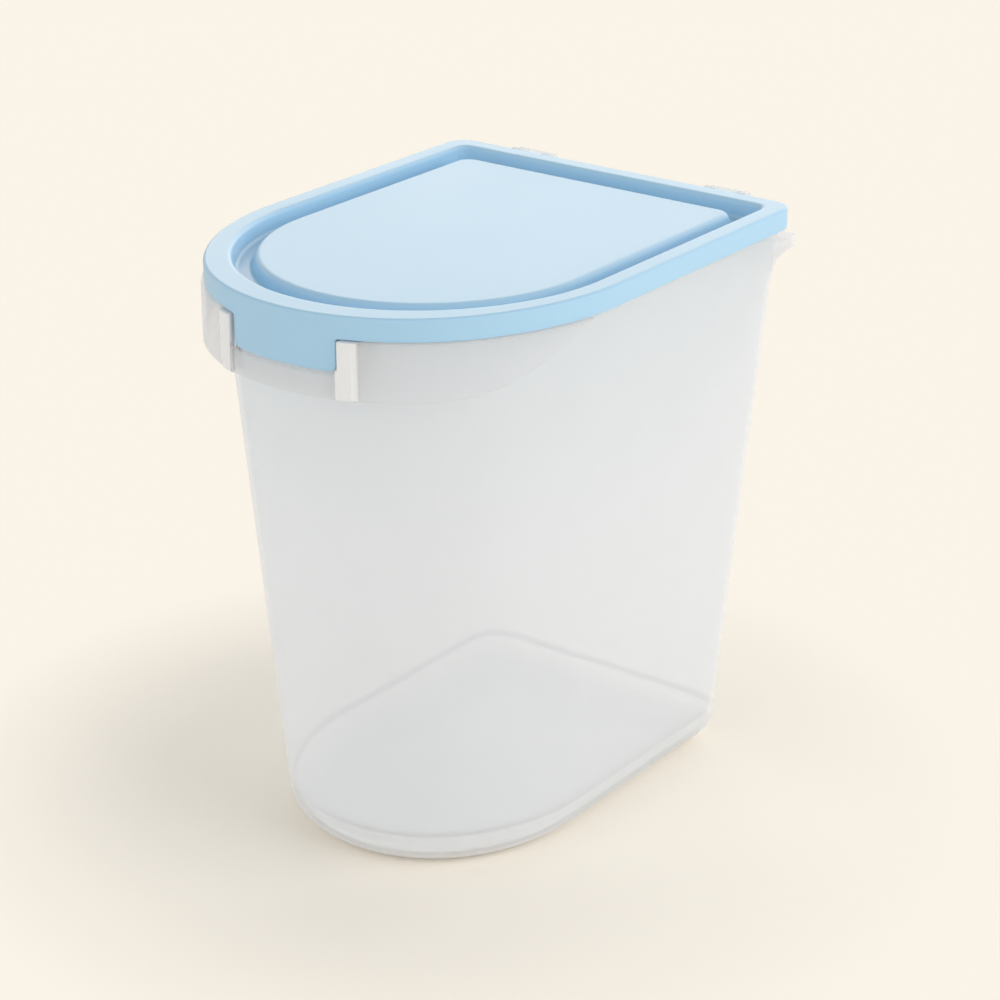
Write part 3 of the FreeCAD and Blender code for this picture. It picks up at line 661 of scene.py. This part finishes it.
def pair_tree():
    """Two copies of a mesh, either side of the middle."""
    tree, given = new_tree("Pair", {"Spread": "NodeSocketFloat", "Material": "NodeSocketMaterial"})
    spread = given["Spread"]
    ends = [spread.node("ShaderNodeCombineXYZ", None, {"X": side * spread}) for side in (-1, 1)]
    sockets = {"Count": 2, "Start Location": ends[0], "Offset": ends[1]}
    line = spread.node("GeometryNodeMeshLine", {"mode": "END_POINTS"}, sockets)
    sockets = {"Points": line, "Instance": given["Geometry"]}
    end_tree(line.node("GeometryNodeInstanceOnPoints", None, sockets), given["Material"])
    return tree


PAIR = pair_tree()


def in_pair(name, meshes, material):
    """Both copies of a hinge part."""
    values = {"Spread": HINGE_X * MM, "Material": material}
    return run_tree(name, joined(name, meshes), PAIR, values)


print("pair tree:", len(PAIR.nodes), "nodes")

# %% Bored parts and blocks
TURN = [2 * math.pi * i / 40 for i in range(40)]
# A place beyond every round edge, which only gives a direction.
BEYOND = 9


def about_axis(x, reach):
    """A ring round the hinge axis, with a reach for each angle."""
    return [(x, HINGE_Y + reach(a) * math.cos(a), HINGE_Z + reach(a) * math.sin(a)) for a in TURN]


def bored(name, ends, reach, bore, edge, material):
    """A piece with a bore on the hinge axis and round outer edges."""
    profile = rounded([(0, 0, 0), (edge, 0, edge), (edge, BEYOND, 0)])
    first = [(ends[0] + up, across - edge) for across, up in profile if up <= edge]
    last = [(ends[1] + ends[0] - x, grown) for x, grown in reversed(first)]
    hole = [about_axis(x, lambda a: bore) for x in ends]
    skin = [about_axis(x, lambda a: reach(a) + grown) for x, grown in first + last]
    return loft(name, [hole[0], *skin, hole[1], hole[0]], material)


def strip(name, stations, material):
    """A bar along X: at each station, a rounded section in Y and Z."""
    rings = [[(x, y, z) for y, z in rounded(corners, closed=True, steps=3)] for x, corners in stations]
    return loft(name, capped(rings), material)


def block(name, across, low, high, edge, material):
    """A box with round edges, given by its ends across and its lowest and highest corner in Y and Z."""
    stations = []
    for x, shrink in ((0, edge), (0.3 * edge, 0.3 * edge), (edge, 0)):
        y, z = ([a + shrink, b - shrink] for a, b in zip(low, high))
        corners = [(y[0], z[0], edge), (y[1], z[0], edge), (y[1], z[1], edge), (y[0], z[1], edge)]
        stations.append((x, corners))
    first = [(across[0] + x, corners) for x, corners in stations]
    last = [(across[1] - x, corners) for x, corners in reversed(stations)]
    return strip(name, first + last, material)


print("sides of a round part:", len(TURN))

# %% Knuckles and the whole lid
PIN_RADIUS = 2
RUNNING_ROOM = 0.06
KNUCKLE = (-6.7, 6.7)
KNUCKLE_WALL = 2
WEB_RISE = 1.5
WEB_SHORT = 1
KNUCKLE_EDGE = 0.5

web_low = (LID_LENGTH / 2 - WALL / 2, SKIRT)
web_high = (HINGE_Y - WEB_SHORT, HINGE_Z + WEB_RISE)
barrel = bored(
    "barrel", KNUCKLE, lambda a: PIN_RADIUS + KNUCKLE_WALL, PIN_RADIUS + RUNNING_ROOM, KNUCKLE_EDGE, BLUE
)
web = block("web", KNUCKLE, web_low, web_high, KNUCKLE_EDGE, BLUE)
knuckles = in_pair("knuckles", [barrel, web], BLUE)
assemble("lid_moulding", [lid_mesh, knuckles], "lid", ["lid"])

# %% [markdown]
# ## Along the round front
# The apron, the bar under the latch, the wall behind it and the tab all follow the round front of the lid.
# Each could be cut from a shell, but a section strung along that curve gives clean rows and soft ends. A
# station is either a plane at one distance from the middle, for parts with square ends such as the tab, or
# a ray from the centre of the arc, for the long flanks of the apron.

# %% Stations on the front
NOSE, FLANK, MEET = LID.arcs()
NOSE_Y = NOSE - LID.front
FLANK_X = LID_HALF - FLANK
FLANK_Y = LID_HALF + LID_REACH - LID.front


def on_plane(x):
    """Places points at a distance out from the skirt, in the plane at x."""
    return lambda out: (x, NOSE_Y - math.sqrt((NOSE + out) ** 2 - x**2))


def on_ray(angle):
    """Places points at a distance out from the skirt, along the ray at an angle from the tip."""
    side = math.copysign(1, angle)
    radius, across, along = (NOSE, 0, NOSE_Y) if abs(angle) < MEET else (FLANK, side * FLANK_X, FLANK_Y)
    return lambda out: (
        across + (radius + out) * math.sin(angle),
        along - (radius + out) * math.cos(angle),
    )


print(f"front arcs of {NOSE:.1f} and {FLANK:.1f} mm meet {math.degrees(MEET):.1f} degrees from the tip")

# %% Sections along the front
ROUND_END = ((0, 1), (0.08, 0.6), (0.3, 0.28), (0.6, 0.08), (1, 0))


def sweep(name, stations, material):
    """A skin along the front: each station places a closed section of (out, up, radius)."""
    rings = []
    for place, corners in stations:
        rings.append([(*place(out), up) for out, up in rounded(corners, closed=True)])
    return loft(name, capped(rings), material)


def frame_section(inner, outer, low, high, edge):
    """A four-cornered section with round edges."""
    return [(inner, low, edge), (inner, high, edge), (outer, high, edge), (outer, low, edge)]


def square_ended(half, section, edge, count):
    """Stations from one end at -half to the other, with the section drawn in at both ends."""
    first = [(-half + edge * go, edge * draw) for go, draw in ROUND_END]
    inner = [(-half + edge + (2 * half - 2 * edge) * i / count, 0) for i in range(1, count)]
    last = [(-x, draw) for x, draw in reversed(first)]
    return [(on_plane(x), section(draw)) for x, draw in first + inner + last]


print("stations in a round end:", len(ROUND_END))

# %% [markdown]
# ## The latch tab
# The tab is a wide tongue that carries on the face of the skirt downwards, with two round lower corners and
# a bead inside that snaps under a ridge. It is a piece of its own because it bends away from the tub when
# it is pulled. A small hollow round joins its sides to the skirt. Its upper edge stays square and is tucked
# a little way into the skirt, so that the joint can't be seen while the tab is shut.

# %% Shape of the tab
TAB_LOW = 284.1
TAB_CORNER = 3
TAB_DRAW = 0.35
TAB_DRAW_SHARE = 0.8
TUCK = 0.15
WIDE_STEPS = 24


def corner_rise(inside):
    """How far a lower edge rises at a distance inside a round corner."""
    short = max(TAB_CORNER - max(inside, 0), 0)
    return TAB_CORNER - math.sqrt(TAB_CORNER**2 - short**2)


def corner_stations(half, count):
    """Distances from the middle: close ones in the round corner at -half, wide ones between the corners."""
    close = [TAB_CORNER * (1 - math.cos(math.pi / 2 * i / count)) - half for i in range(count + 1)]
    level = 2 * half - 2 * TAB_CORNER
    wide = [-half + TAB_CORNER + level * i / WIDE_STEPS for i in range(1, WIDE_STEPS)]
    return close, wide


def tab_section(x, draw):
    """Section of the tab at a distance from the middle, with its root tucked into the skirt."""
    low = TAB_LOW + corner_rise(TAB_HALF - abs(x))
    return [
        (-WALL + draw, low + draw, 0.5),
        (-WALL + draw, SKIRT, 0),
        (-WALL + draw + TUCK, SKIRT + TUCK, 0),
        (-draw - TUCK, SKIRT + TUCK, 0),
        (-draw, SKIRT, 0),
        (-draw, low + draw, 0.7),
    ]


def tab_stations():
    """Closely spaced stations round the two lower corners, wide ones between."""
    close, wide = corner_stations(TAB_HALF, count=8)
    near = [(x, max(TAB_DRAW - (x + TAB_HALF), 0) * TAB_DRAW_SHARE) for x in close]
    places = near + [(x, 0) for x in wide] + [(-x, draw) for x, draw in reversed(near)]
    return [(on_plane(x), tab_section(x, draw)) for x, draw in places]


tab_mesh = sweep("tab", tab_stations(), BLUE)
print("tab:", len(tab_mesh.polygons), "faces")

# %% Fillets, bead and the whole latch
FILLET = 1.0
FILLET_PLACES = (-0.3, 0, 0.03, 0.1, 0.22, 0.4, 0.62, 0.85, 0.97)
BEAD_HALF = 20
BEAD_OUT = (-2.8, -1.6)
BEAD_UP = (287.5, 289.5)


def fillet(side):
    """The small hollow round between the tab's side and the skirt."""
    stations = []
    for past in FILLET_PLACES:
        rise = math.sqrt(max(FILLET**2 - (FILLET - max(past, 0)) ** 2, 0))
        section = frame_section(-WALL, 0, SKIRT - FILLET + rise, SKIRT, 0)
        stations.append((on_plane(side * (TAB_HALF + past)), section))
    return sweep("fillet", stations, BLUE)


def bead_section(draw):
    """The bead on the inside of the tab."""
    return frame_section(BEAD_OUT[0] + draw, BEAD_OUT[1], BEAD_UP[0] + draw, BEAD_UP[1] - draw, 0.5)


bead_mesh = sweep("bead", square_ended(BEAD_HALF, bead_section, edge=0.6, count=12), BLUE)
latch_meshes = [tab_mesh, bead_mesh, fillet(-1), fillet(1)]
assemble("latch_tongue", latch_meshes, "latch", ["latch_tab"])

# %% [markdown]
# ## The tub's shell
# The shell is the wall, the floor and the collar that the lid closes on. A single skin with a Solidify
# modifier would have one thickness everywhere, but the real wall steps at the base and at the collar.
# Walked from the middle of its foot to the middle of its floor inside, the shell goes round the foot, up
# the leaning wall, over the collar and down again. The leaning wall is a mix of two Ds, the base and the
# waist, by height, so every ring follows one rule.

# %% Walls by height
SHOULDER = 299.9
PLATE_LOW = 297.5
COLLAR_TOP = 307.5
FLOOR = 2.8


def wall_at(height):
    """The outside of the wall at a height."""
    return BASE.towards(WAIST, height / SHOULDER)


def inside_at(height):
    """The inside of the wall at a height."""
    return BASE.inset(WALL).towards(WAIST.inset(WALL), (height - FLOOR) / (SHOULDER - FLOOR))


def foot_curve(level, radius, outline_at, steps=10):
    """Rings round the edge between a level face and the wall, from the face upwards."""
    rings = []
    for step in range(steps + 1):
        angle = math.pi / 2 * step / steps
        height = level + radius * (1 - math.cos(angle))
        rings.append(outline_at(height).inset(radius * (1 - math.sin(angle))).ring(height))
    return rings


print(f"wall from {2 * wall_at(0).half:.0f} to {2 * wall_at(SHOULDER).half:.1f} mm wide")

# %% Tub shell
HEIGHTS = (24, 45, 80, 120, 160, 200, 240, 270, 288, 294, 296.5)
ROUND = 16
THICKER = 1.2
FOOT_HOLLOW = 0.9
STEP = ((0, HEIGHTS[0], 0), (0, 20.6, 0.5), (THICKER, 19.8, 0.5), (THICKER, 17, 0))
COLLAR_STEP = 0.6


def tub_shell():
    """Foot, wall, collar and floor as one closed skin."""
    foot = ((10, FOOT_HOLLOW, 0), (0, FOOT_HOLLOW, 0.4), (0, 0, 0.4), (-4, 0, 0))
    outside = [wall_at(height).ring(height) for height in HEIGHTS]
    step_out = [wall_at(PLATE_LOW).towards(COLLAR, share).ring(PLATE_LOW + share) for share in (0, 1)]
    collar = ((0, SHOULDER, 0), (0, COLLAR_TOP, 0.8), (WALL, COLLAR_TOP, 0.8), (WALL, SHOULDER, 0))
    step_in = [COLLAR.inset(WALL).ring(SHOULDER + COLLAR_STEP), inside_at(SHOULDER).ring(SHOULDER)]
    inside = [inside_at(height).ring(height) for height in reversed(HEIGHTS)]
    inside += [inside_at(height).inset(across).ring(height) for across, height in rounded(STEP)]
    floor = foot_curve(FLOOR, ROUND - WALL - THICKER, lambda height: inside_at(height).inset(THICKER))
    rings = [
        *dee_rings(FOOT, foot, steps=2),
        *foot_curve(0, ROUND, wall_at),
        *outside,
        *step_out,
        *dee_rings(COLLAR, collar),
        *step_in,
        *inside,
        *reversed(floor),
    ]
    return loft("tub_shell", capped(rings), FROSTED)


shell_mesh = tub_shell()
print("tub shell:", len(shell_mesh.polygons), "faces")

# %% [markdown]
# ## The apron
# A band hangs from the shoulder round the front. Its lower edge is level under the latch and sweeps up
# along the sides until it dies out against the lid. It is open at the front, where the tab hangs in a notch
# between two thick ribs, each with a wide round at the notch. Cutting it from a solid band would leave the
# rounds to do afterwards. Here one half is strung along the front, station by station, and the other is the
# same with its sign changed.

# %% Section of the apron
APRON_OUT = 1.5
APRON_IN = -0.7
APRON_LOW = 271
APRON_LEVEL = -118
APRON_BEND = 90
APRON_SLOPE = math.radians(26.5)
APRON_LEAST = 0.3
ROOT = -3.9


def apron_edge(y):
    """Height of the apron's lower edge at a distance from the middle of the lid."""
    turned = APRON_LEVEL + APRON_BEND * math.sin(APRON_SLOPE)
    bent = min(max(y, APRON_LEVEL), turned) - APRON_LEVEL
    curved = APRON_LOW + APRON_BEND - math.sqrt(APRON_BEND**2 - bent**2)
    return curved + max(y - turned, 0) * math.tan(APRON_SLOPE)


def apron_section(place, rise_high, rise_low, draw):
    """Plate and hanging band at one station, proud above and below by the rib, and drawn in at an end."""
    low = min(apron_edge(place((APRON_OUT + APRON_IN) / 2)[1]), SHOULDER - APRON_LEAST)
    under = max(PLATE_LOW, low)
    return [
        (ROOT, SHOULDER - draw, 0),
        (APRON_OUT + rise_high - draw, SHOULDER - draw, 0.7),
        (APRON_OUT + rise_low - draw, low + draw, 0.9),
        (APRON_IN + draw, low + draw, 0.6),
        (APRON_IN + draw, under + draw, 0.5),
        (ROOT, under + draw, 0),
    ]


print("apron edge at the tip and at the middle:", apron_edge(-LID.front), round(apron_edge(0), 1))

# %% Two halves with their ribs
NOTCH_HALF = 32.55
NOTCH_END = ((0, 0.8), (0.07, 0.5), (0.25, 0.22), (0.5, 0.07), (0.8, 0))
RIB_END = 42.55
RIB_EDGE = 1.0
RIB_TAPER = 2.2
RIB_PROUD = 1
RIB_ROUND = 2.2
RIB_SHED = 1.7
RIB_PLACES = [NOTCH_HALF + go for go in (1.1, 1.4, 1.7, 2.0, 2.2)]
RIB_PLACES += [RIB_END - 5 + 0.225 * i for i in range(-10, 26)]
RAYS = [math.radians(26.6 + 0.9 * i) for i in range(62)]


def rib_rise(x):
    """How far the face stands out across the edge of a rib."""
    t = min(max((RIB_END + RIB_EDGE / 2 - x) / RIB_EDGE, 0), 1)
    return RIB_PROUD * t * t * (3 - 2 * t)


def rib_shed(x):
    """How far the face falls back in the wide round at the notch."""
    short = max(NOTCH_HALF + RIB_ROUND - x, 0) / RIB_ROUND
    return RIB_SHED * (1 - math.sqrt(max(1 - short**2, 0)))


def apron_half(side):
    """One half of the apron, from the notch to its end along the side."""
    stations = []
    for x, draw in [(NOTCH_HALF + go, draw) for go, draw in NOTCH_END] + [(x, 0) for x in RIB_PLACES]:
        place = on_plane(side * x)
        rises = [rib_rise(past) - rib_shed(x) for past in (x, x + RIB_TAPER)]
        stations.append((place, apron_section(place, *rises, draw)))
    for angle in RAYS:
        place = on_ray(side * angle)
        stations.append((place, apron_section(place, 0, 0, 0)))
    return sweep("apron", stations, FROSTED)


apron_meshes = [apron_half(1), apron_half(-1)]
print("apron:", sum(len(mesh.polygons) for mesh in apron_meshes), "faces")

# %% [markdown]
# ## Behind and below the tab
# A bar closes the notch below and rises into its two round corners. Behind the tab stands a wall, and on it
# the ridge that the bead snaps under. They could be cut from one block, but as three swept sections they
# keep the curve of the front and need no booleans.

# %% Bar, wall and ridge
NOTCH_LOW = 282.8
RIB_FOOT = 30.6
BAR_PROUD = 0.9
BAR_INTO_RIB = 1.5
CATCH_HALF = 36
CATCH_OUT = (-5.8, -3.6)
RIDGE_HALF = 20
RIDGE_OUT = (-4.6, -3.1)
RIDGE_UP = (290.8, 292.8)


def bar_section(x):
    """The bar below the notch, rising into the notch's round corners."""
    high = NOTCH_LOW + corner_rise(NOTCH_HALF - abs(x))
    proud = BAR_PROUD * (RIB_PROUD - rib_rise(abs(x) + RIB_END - RIB_FOOT))
    return frame_section(APRON_IN, APRON_OUT + proud, APRON_LOW, high, 0.8)


def bar_stations():
    """Close stations in the notch's corners, wide ones between."""
    close, wide = corner_stations(NOTCH_HALF, count=16)
    near = [-NOTCH_HALF - BAR_INTO_RIB, *close]
    return [(on_plane(x), bar_section(x)) for x in near + wide + [-x for x in reversed(near)]]


def catch_section(draw):
    """The wall behind the tab."""
    return frame_section(CATCH_OUT[0] + draw, CATCH_OUT[1] - draw, APRON_LOW + draw, SHOULDER - draw, 0.5)


def ridge_section(draw):
    """The ridge on that wall, which the bead snaps under."""
    return frame_section(RIDGE_OUT[0], RIDGE_OUT[1] - draw, RIDGE_UP[0] + draw, RIDGE_UP[1] - draw, 0.4)


notch_meshes = [
    sweep("bar", bar_stations(), FROSTED),
    sweep("catch", square_ended(CATCH_HALF, catch_section, edge=0.6, count=24), FROSTED),
    sweep("ridge", square_ended(RIDGE_HALF, ridge_section, edge=0.4, count=12), FROSTED),
]
print("notch of the latch:", sum(len(mesh.polygons) for mesh in notch_meshes), "faces")

# %% [markdown]
# ## Rear ledge
# Across the flat back runs a hollow ledge with a gusset under each end. A Solidify modifier would leave its
# ends open, so the ledge is a strip along X whose section turns from solid to hollow a wall's thickness
# from each end. Each gusset is a thin plate with a hollow curve, leaning with the wall.

# %% Ledge
LEDGE_TOP = 292.2
LEDGE_LOW = 286.2
LEDGE_BACK = 154.9
LEDGE_HALF = 105
LEDGE_WALL = 2.4
LEDGE_CORNER = 3
LEDGE_SUNK = 0.8
LEDGE_TURN = 0.05
LEDGE_PLACES = (101.5, 100.3, 99, 97.3, 95)


def behind_wall(x, height):
    """How far back the outside of the wall is, at a distance from the middle."""
    outline = wall_at(height)
    past = min(max(abs(x) - (outline.half - outline.corner), 0), outline.corner)
    return outline.back - outline.corner + math.sqrt(outline.corner**2 - past**2)


def ledge_corners(x, hollow):
    """Section of the ledge at a distance from the middle."""
    root = behind_wall(x, LEDGE_LOW) - LEDGE_SUNK
    past = max(abs(x) - (LEDGE_HALF - LEDGE_CORNER), 0)
    back = LEDGE_BACK - LEDGE_CORNER + math.sqrt(max(LEDGE_CORNER**2 - past**2, 0.0))
    roof = LEDGE_TOP - LEDGE_WALL if hollow else LEDGE_LOW
    inner = back - LEDGE_WALL
    return [
        (root, LEDGE_TOP, 0),
        (back, LEDGE_TOP, 0.8),
        (back, LEDGE_LOW, 0.6),
        (inner, LEDGE_LOW, 0.4),
        (inner, roof, 0.4),
        (root, roof, 0),
    ]


def ledge():
    """The ledge with its two closed ends."""
    turn = [LEDGE_HALF - LEDGE_CORNER * (1 - math.sin(math.pi / 2 * i / 8)) for i in range(8, -1, -1)]
    solid = LEDGE_HALF - LEDGE_WALL
    right = [(x, False) for x in turn if x > solid] + [(solid, False), (solid - LEDGE_TURN, True)]
    right += [(x, True) for x in LEDGE_PLACES]
    places = [(-x, hollow) for x, hollow in right] + [(0, True)] + list(reversed(right))
    return strip("ledge", [(x, ledge_corners(x, hollow)) for x, hollow in places], FROSTED)


ledge_mesh = ledge()
print("ledge:", len(ledge_mesh.polygons), "faces")

# %% Gussets
GUSSET = 9
GUSSET_TIP = 147.1
GUSSET_LEAN = 0.08
GUSSET_SUNK = 1
GUSSET_STEPS = 12
GUSSET_SIDES = (-LEDGE_WALL / 2, LEDGE_WALL / 2)


def gusset(side):
    """A hollow curve between the end of the ledge and the wall, leaning with the wall."""
    middle = LEDGE_HALF - LEDGE_WALL / 2
    low = LEDGE_LOW - GUSSET
    high = LEDGE_LOW + GUSSET_SUNK
    roots = [behind_wall(middle, height) for height in (low, LEDGE_LOW)]
    outline = []
    for step in range(GUSSET_STEPS + 1):
        angle = math.pi / 2 * (1 - step / GUSSET_STEPS)
        y = GUSSET_TIP - (GUSSET_TIP - roots[0]) * math.cos(angle)
        outline.append((y, low + GUSSET * math.sin(angle)))
    outline += [(roots[0] - GUSSET_SUNK, low), (roots[1] - GUSSET_SUNK, high), (GUSSET_TIP, high)]
    faces = []
    fans = []
    for out in GUSSET_SIDES:
        lean = [middle + out - GUSSET_LEAN * max(LEDGE_LOW - z, 0) for y, z in outline]
        faces.append([(side * x, y, z) for x, (y, z) in zip(lean, outline)])
        fans.append(pole(outline, (side * (middle + out), roots[1], LEDGE_LOW)))
    return loft("gusset", [fans[0], *faces, fans[1]], FROSTED)


gussets = [gusset(side) for side in (-1, 1)]
print("gussets:", sum(len(mesh.polygons) for mesh in gussets), "faces")

# %% [markdown]
# ## Hinge towers
# Two towers stand on the ledge. Each is a pair of ears with a hole for the pin, and a low wall behind that
# stops the lid when it is open. A boolean could cut the hole from a block, but it leaves long thin faces.
# An ear is round above the pin and square below it, so its outline is a reach from the hinge axis for each
# angle, and the same function that bored the knuckles bores it.

# %% Towers
TOWER_HALF = 13
TOWER_SUNK = 0.4
TOWER_EDGE = 0.7
EAR_IN = 7
EAR = 5.2
HELD_ROOM = 0.03
STOP_FACE = 152.7
STOP_RISE = 4
LEAST_COSINE = 1e-6


def ear_reach(angle):
    """From the hinge axis to the side of an ear: round above, square below."""
    up = math.sin(angle)
    if up >= 0:
        return EAR
    return min(EAR / max(abs(math.cos(angle)), LEAST_COSINE), (HINGE_Z - LEDGE_TOP + TOWER_SUNK) / -up)


ears = []
for ends in ((-TOWER_HALF, -EAR_IN), (EAR_IN, TOWER_HALF)):
    ears.append(bored("ear", ends, ear_reach, PIN_RADIUS + HELD_ROOM, TOWER_EDGE, FROSTED))
stop_low = (STOP_FACE, LEDGE_TOP - TOWER_SUNK)
stop_high = (LEDGE_BACK, HINGE_Z + STOP_RISE)
stop = block("stop", (-TOWER_HALF, TOWER_HALF), stop_low, stop_high, TOWER_EDGE, FROSTED)
towers = in_pair("towers", [*ears, stop], FROSTED)
print("towers:", len(towers.polygons), "faces")

# %% [markdown]
# ## The whole tub
# Shell, apron, ledge and towers come out of one mould, so they are one piece. The painted shade line of the
# frosted finish is drawn only on the inside of the wall, so the finish needs to know which side it is on. A
# second material on the inside would do, but it would end in a hard line, so each point of the mesh gets a
# mark instead, which the shader reads as an attribute.

# %% Assemble the tub and mark its inside
tub_meshes = [shell_mesh, *apron_meshes, *notch_meshes, ledge_mesh, *gussets, towers]
tub_piece = assemble("tub_moulding", tub_meshes, "tub", ["tub"])


def mark_inside(mesh):
    """Marks the points whose faces look towards the middle of the tub, for the painted shade line of the
    finish to read.
    """
    marks = mesh.attributes.new("inside", "FLOAT", "POINT")
    middle = Vector((0, MIDDLE * MM))
    inwards = [vertex.normal.xy.dot(middle - vertex.co.xy) > 0 for vertex in mesh.vertices]
    marks.data.foreach_set("value", [float(mark) for mark in inwards])
    print("points on the inside:", sum(inwards))


mark_inside(tub_piece.data)

# %% [markdown]
# ## Seal and pins
# The seal is a flat silicone ring in the groove under the rim. It is a skin of Ds again, but its rows close
# on themselves instead of ending in poles. Each hinge pin is a turned rod: a thin shank with a domed head
# on the outside. A cylinder with a sphere on it would leave a seam, so the pin is one profile turned about
# the hinge axis.

# %% Seal and pins
SEAL_OUT = (2.4, 8.4)
SEAL_UP = (307.8, 309.8)
HEAD_RADIUS = 3.2
HEAD_END = 14.4


def seal():
    """The ring in the groove of the lid."""
    outer, inner = SEAL_OUT
    low, high = SEAL_UP
    corners = [(outer, low, 0.6), (outer, high, 0.4), (inner, high, 0.4), (inner, low, 0.6)]
    rings = [LID.inset(across).ring(up) for across, up in rounded(corners, closed=True, steps=2)]
    return loft("seal", [*rings, rings[0]], SILICONE)


def hinge_pin(side):
    """A headed pin through one hinge."""
    shank = [(0, -TOWER_HALF, 0), (PIN_RADIUS, -TOWER_HALF, 0.3), (PIN_RADIUS, TOWER_HALF, 0)]
    head = [(HEAD_RADIUS, TOWER_HALF, 0.1), (HEAD_RADIUS, HEAD_END, 0.9), (0, HEAD_END, 0)]
    profile = rounded(shank + head)
    rings = [about_axis(side * (HINGE_X + along), lambda a: radius) for radius, along in profile]
    return loft("pin", capped(rings), PIN)


assemble("seal_ring", [seal()], "lid", ["lid_gasket"])
for word, side in (("left", -1), ("right", 1)):
    assemble(f"turned_pin_{word}", [hinge_pin(side)], "tub", [f"hinge_pin_{word}"])

# %% [markdown]
# ## Floor and backdrop
# The photograph has one cream colour all round and a soft shadow under the bin. A curved backdrop could
# give that, but its light would vary. Here the floor is a large plane that keeps the shadow near the bin
# and fades into the plain colour of the world further out. Camera, glossy and transmission rays see that
# colour, and all other rays get a weaker, cooler light.

# %% Floor
CREAM = (0.964, 0.904, 0.807)
FADE = (0.14, 0.32)
STAGE_FILL = 0.07
STAGE_HALF = 6


def floor_finish():
    """Cream floor that keeps the shadow near the bin and fades into the backdrop."""
    material, place = new_material("floor")
    away = place.node("ShaderNodeVectorMath", {"operation": "LENGTH"}, {0: place}, "Value")
    ray = place.node("ShaderNodeLightPath", output="Is Camera Ray")
    matt = place.node("ShaderNodeBsdfDiffuse", None, {"Color": (*CREAM, 1)})
    plain = place.node("ShaderNodeEmission", None, {"Color": (*CREAM, 1), "Strength": 1.0})
    fill = place.node("ShaderNodeEmission", None, {"Color": (*CREAM, 1), "Strength": STAGE_FILL * ray})
    near = place.node("ShaderNodeAddShader", None, {0: matt, 1: fill})
    mixed = place.node("ShaderNodeMixShader", None, {0: ray * away.between(*FADE), 1: near, 2: plain})
    return end_material(material, mixed)


floor_mesh = bpy.data.meshes.new("floor")
floor_corners = [(x * STAGE_HALF, y * STAGE_HALF, 0) for x, y in ((-1, -1), (1, -1), (1, 1), (-1, 1))]
floor_mesh.from_pydata(floor_corners, [], [(0, 1, 2, 3)])
floor_mesh.materials.append(floor_finish())
floor = in_scene("floor", floor_mesh)
print("floor:", 2 * STAGE_HALF, "m wide")

# %% Backdrop
DAYLIGHT = (0.97, 0.985, 1, 1)
DAYLIGHT_STRENGTH = 0.35


def studio_world():
    """A plain backdrop for what is seen, and a weaker light for everything else."""
    world = bpy.data.worlds.new("studio")
    world.use_nodes = True
    world.node_tree.nodes.clear()
    sky = Wire(world.node_tree)
    kinds = ("Is Camera Ray", "Is Glossy Ray", "Is Transmission Ray")
    seen, glossy, passed = (sky.node("ShaderNodeLightPath", output=kind) for kind in kinds)
    backdrop = sky.math("MAXIMUM", sky.math("MAXIMUM", seen, glossy), passed)
    light = sky.node("ShaderNodeBackground", None, {"Color": DAYLIGHT, "Strength": DAYLIGHT_STRENGTH})
    plain = sky.node("ShaderNodeBackground", None, {"Color": (*CREAM, 1), "Strength": 1.0})
    mixed = sky.node("ShaderNodeMixShader", None, {0: backdrop, 1: light, 2: plain})
    sky.node("ShaderNodeOutputWorld", None, {"Surface": mixed})
    return world


bpy.context.scene.world = studio_world()
print("backdrop:", CREAM)

# %% [markdown]
# ## Lamps
# Small lamps would cast hard shadows, so these are large panels, as in a light tent. The strongest stands
# on the right, and the left side of the bin is the darkest. Satin plastic mirrors a lamp when it is seen at
# a low angle, which would wash out the blue of the lid, so only the rear lamp can be mirrored. It lays a
# pale sheen over the panel.

# %% Lamps
AIM = Vector((0, 0, 0.17))


def soft_lamp(name, direction, distance, size, power, mirrored=False):
    """A soft lamp that looks at the bin from a direction round it, and is mirrored in gloss or not."""
    lamp = bpy.data.lights.new(name, "AREA")
    lamp.shape = "RECTANGLE"
    lamp.size, lamp.size_y = size
    lamp.energy = power
    azimuth, elevation = (math.radians(angle) for angle in direction)
    level = math.cos(elevation)
    back = Vector((math.sin(azimuth) * level, -math.cos(azimuth) * level, math.sin(elevation)))
    holder = in_scene(name, lamp)
    holder.location = AIM + back * distance
    holder.rotation_euler = (-back).to_track_quat("-Z", "Y").to_euler()
    holder.visible_glossy = mirrored


soft_lamp("right_lamp", direction=(104, 22), distance=2.0, size=(2.0, 1.6), power=24)
soft_lamp("left_lamp", direction=(-70, 15), distance=1.6, size=(1.0, 1.0), power=1.5)
soft_lamp("rear_lamp", direction=(197, 26), distance=1.6, size=(2.4, 1.2), power=10.5, mirrored=True)
soft_lamp("front_lamp", direction=(-8, 20), distance=2.2, size=(1.9, 1.9), power=16)
print("lamps:", [lamp.name for lamp in bpy.data.lights])

# %% [markdown]
# ## Camera
# A camera could be placed by eye, but small errors of angle show at once in the oval of the lid. Its place
# and lens come from a fit to the outline of the lid in the photograph, so that the bin fills the frame in
# the same way. It looks down at the bin from its right front.

# %% Camera
LENS = 100.8
SENSOR = 36
EYE = (0.8224, -1.08015, 0.7321)
LOOK_DOWN = 22.71
LOOK_LEFT = 36.6

camera = bpy.data.cameras.new("camera")
camera.lens = LENS
camera.sensor_width = SENSOR
eye = in_scene("camera", camera)
eye.location = EYE
eye.rotation_euler = (math.radians(90 - LOOK_DOWN), 0, math.radians(LOOK_LEFT))
bpy.context.scene.camera = eye
bpy.context.scene.view_settings.view_transform = "Standard"
print(f"camera {Vector(EYE).length:.2f} m from the middle of the foot")

# %% [markdown] ## Size and finish The dressed bin has to fill the same box as the CAD model.
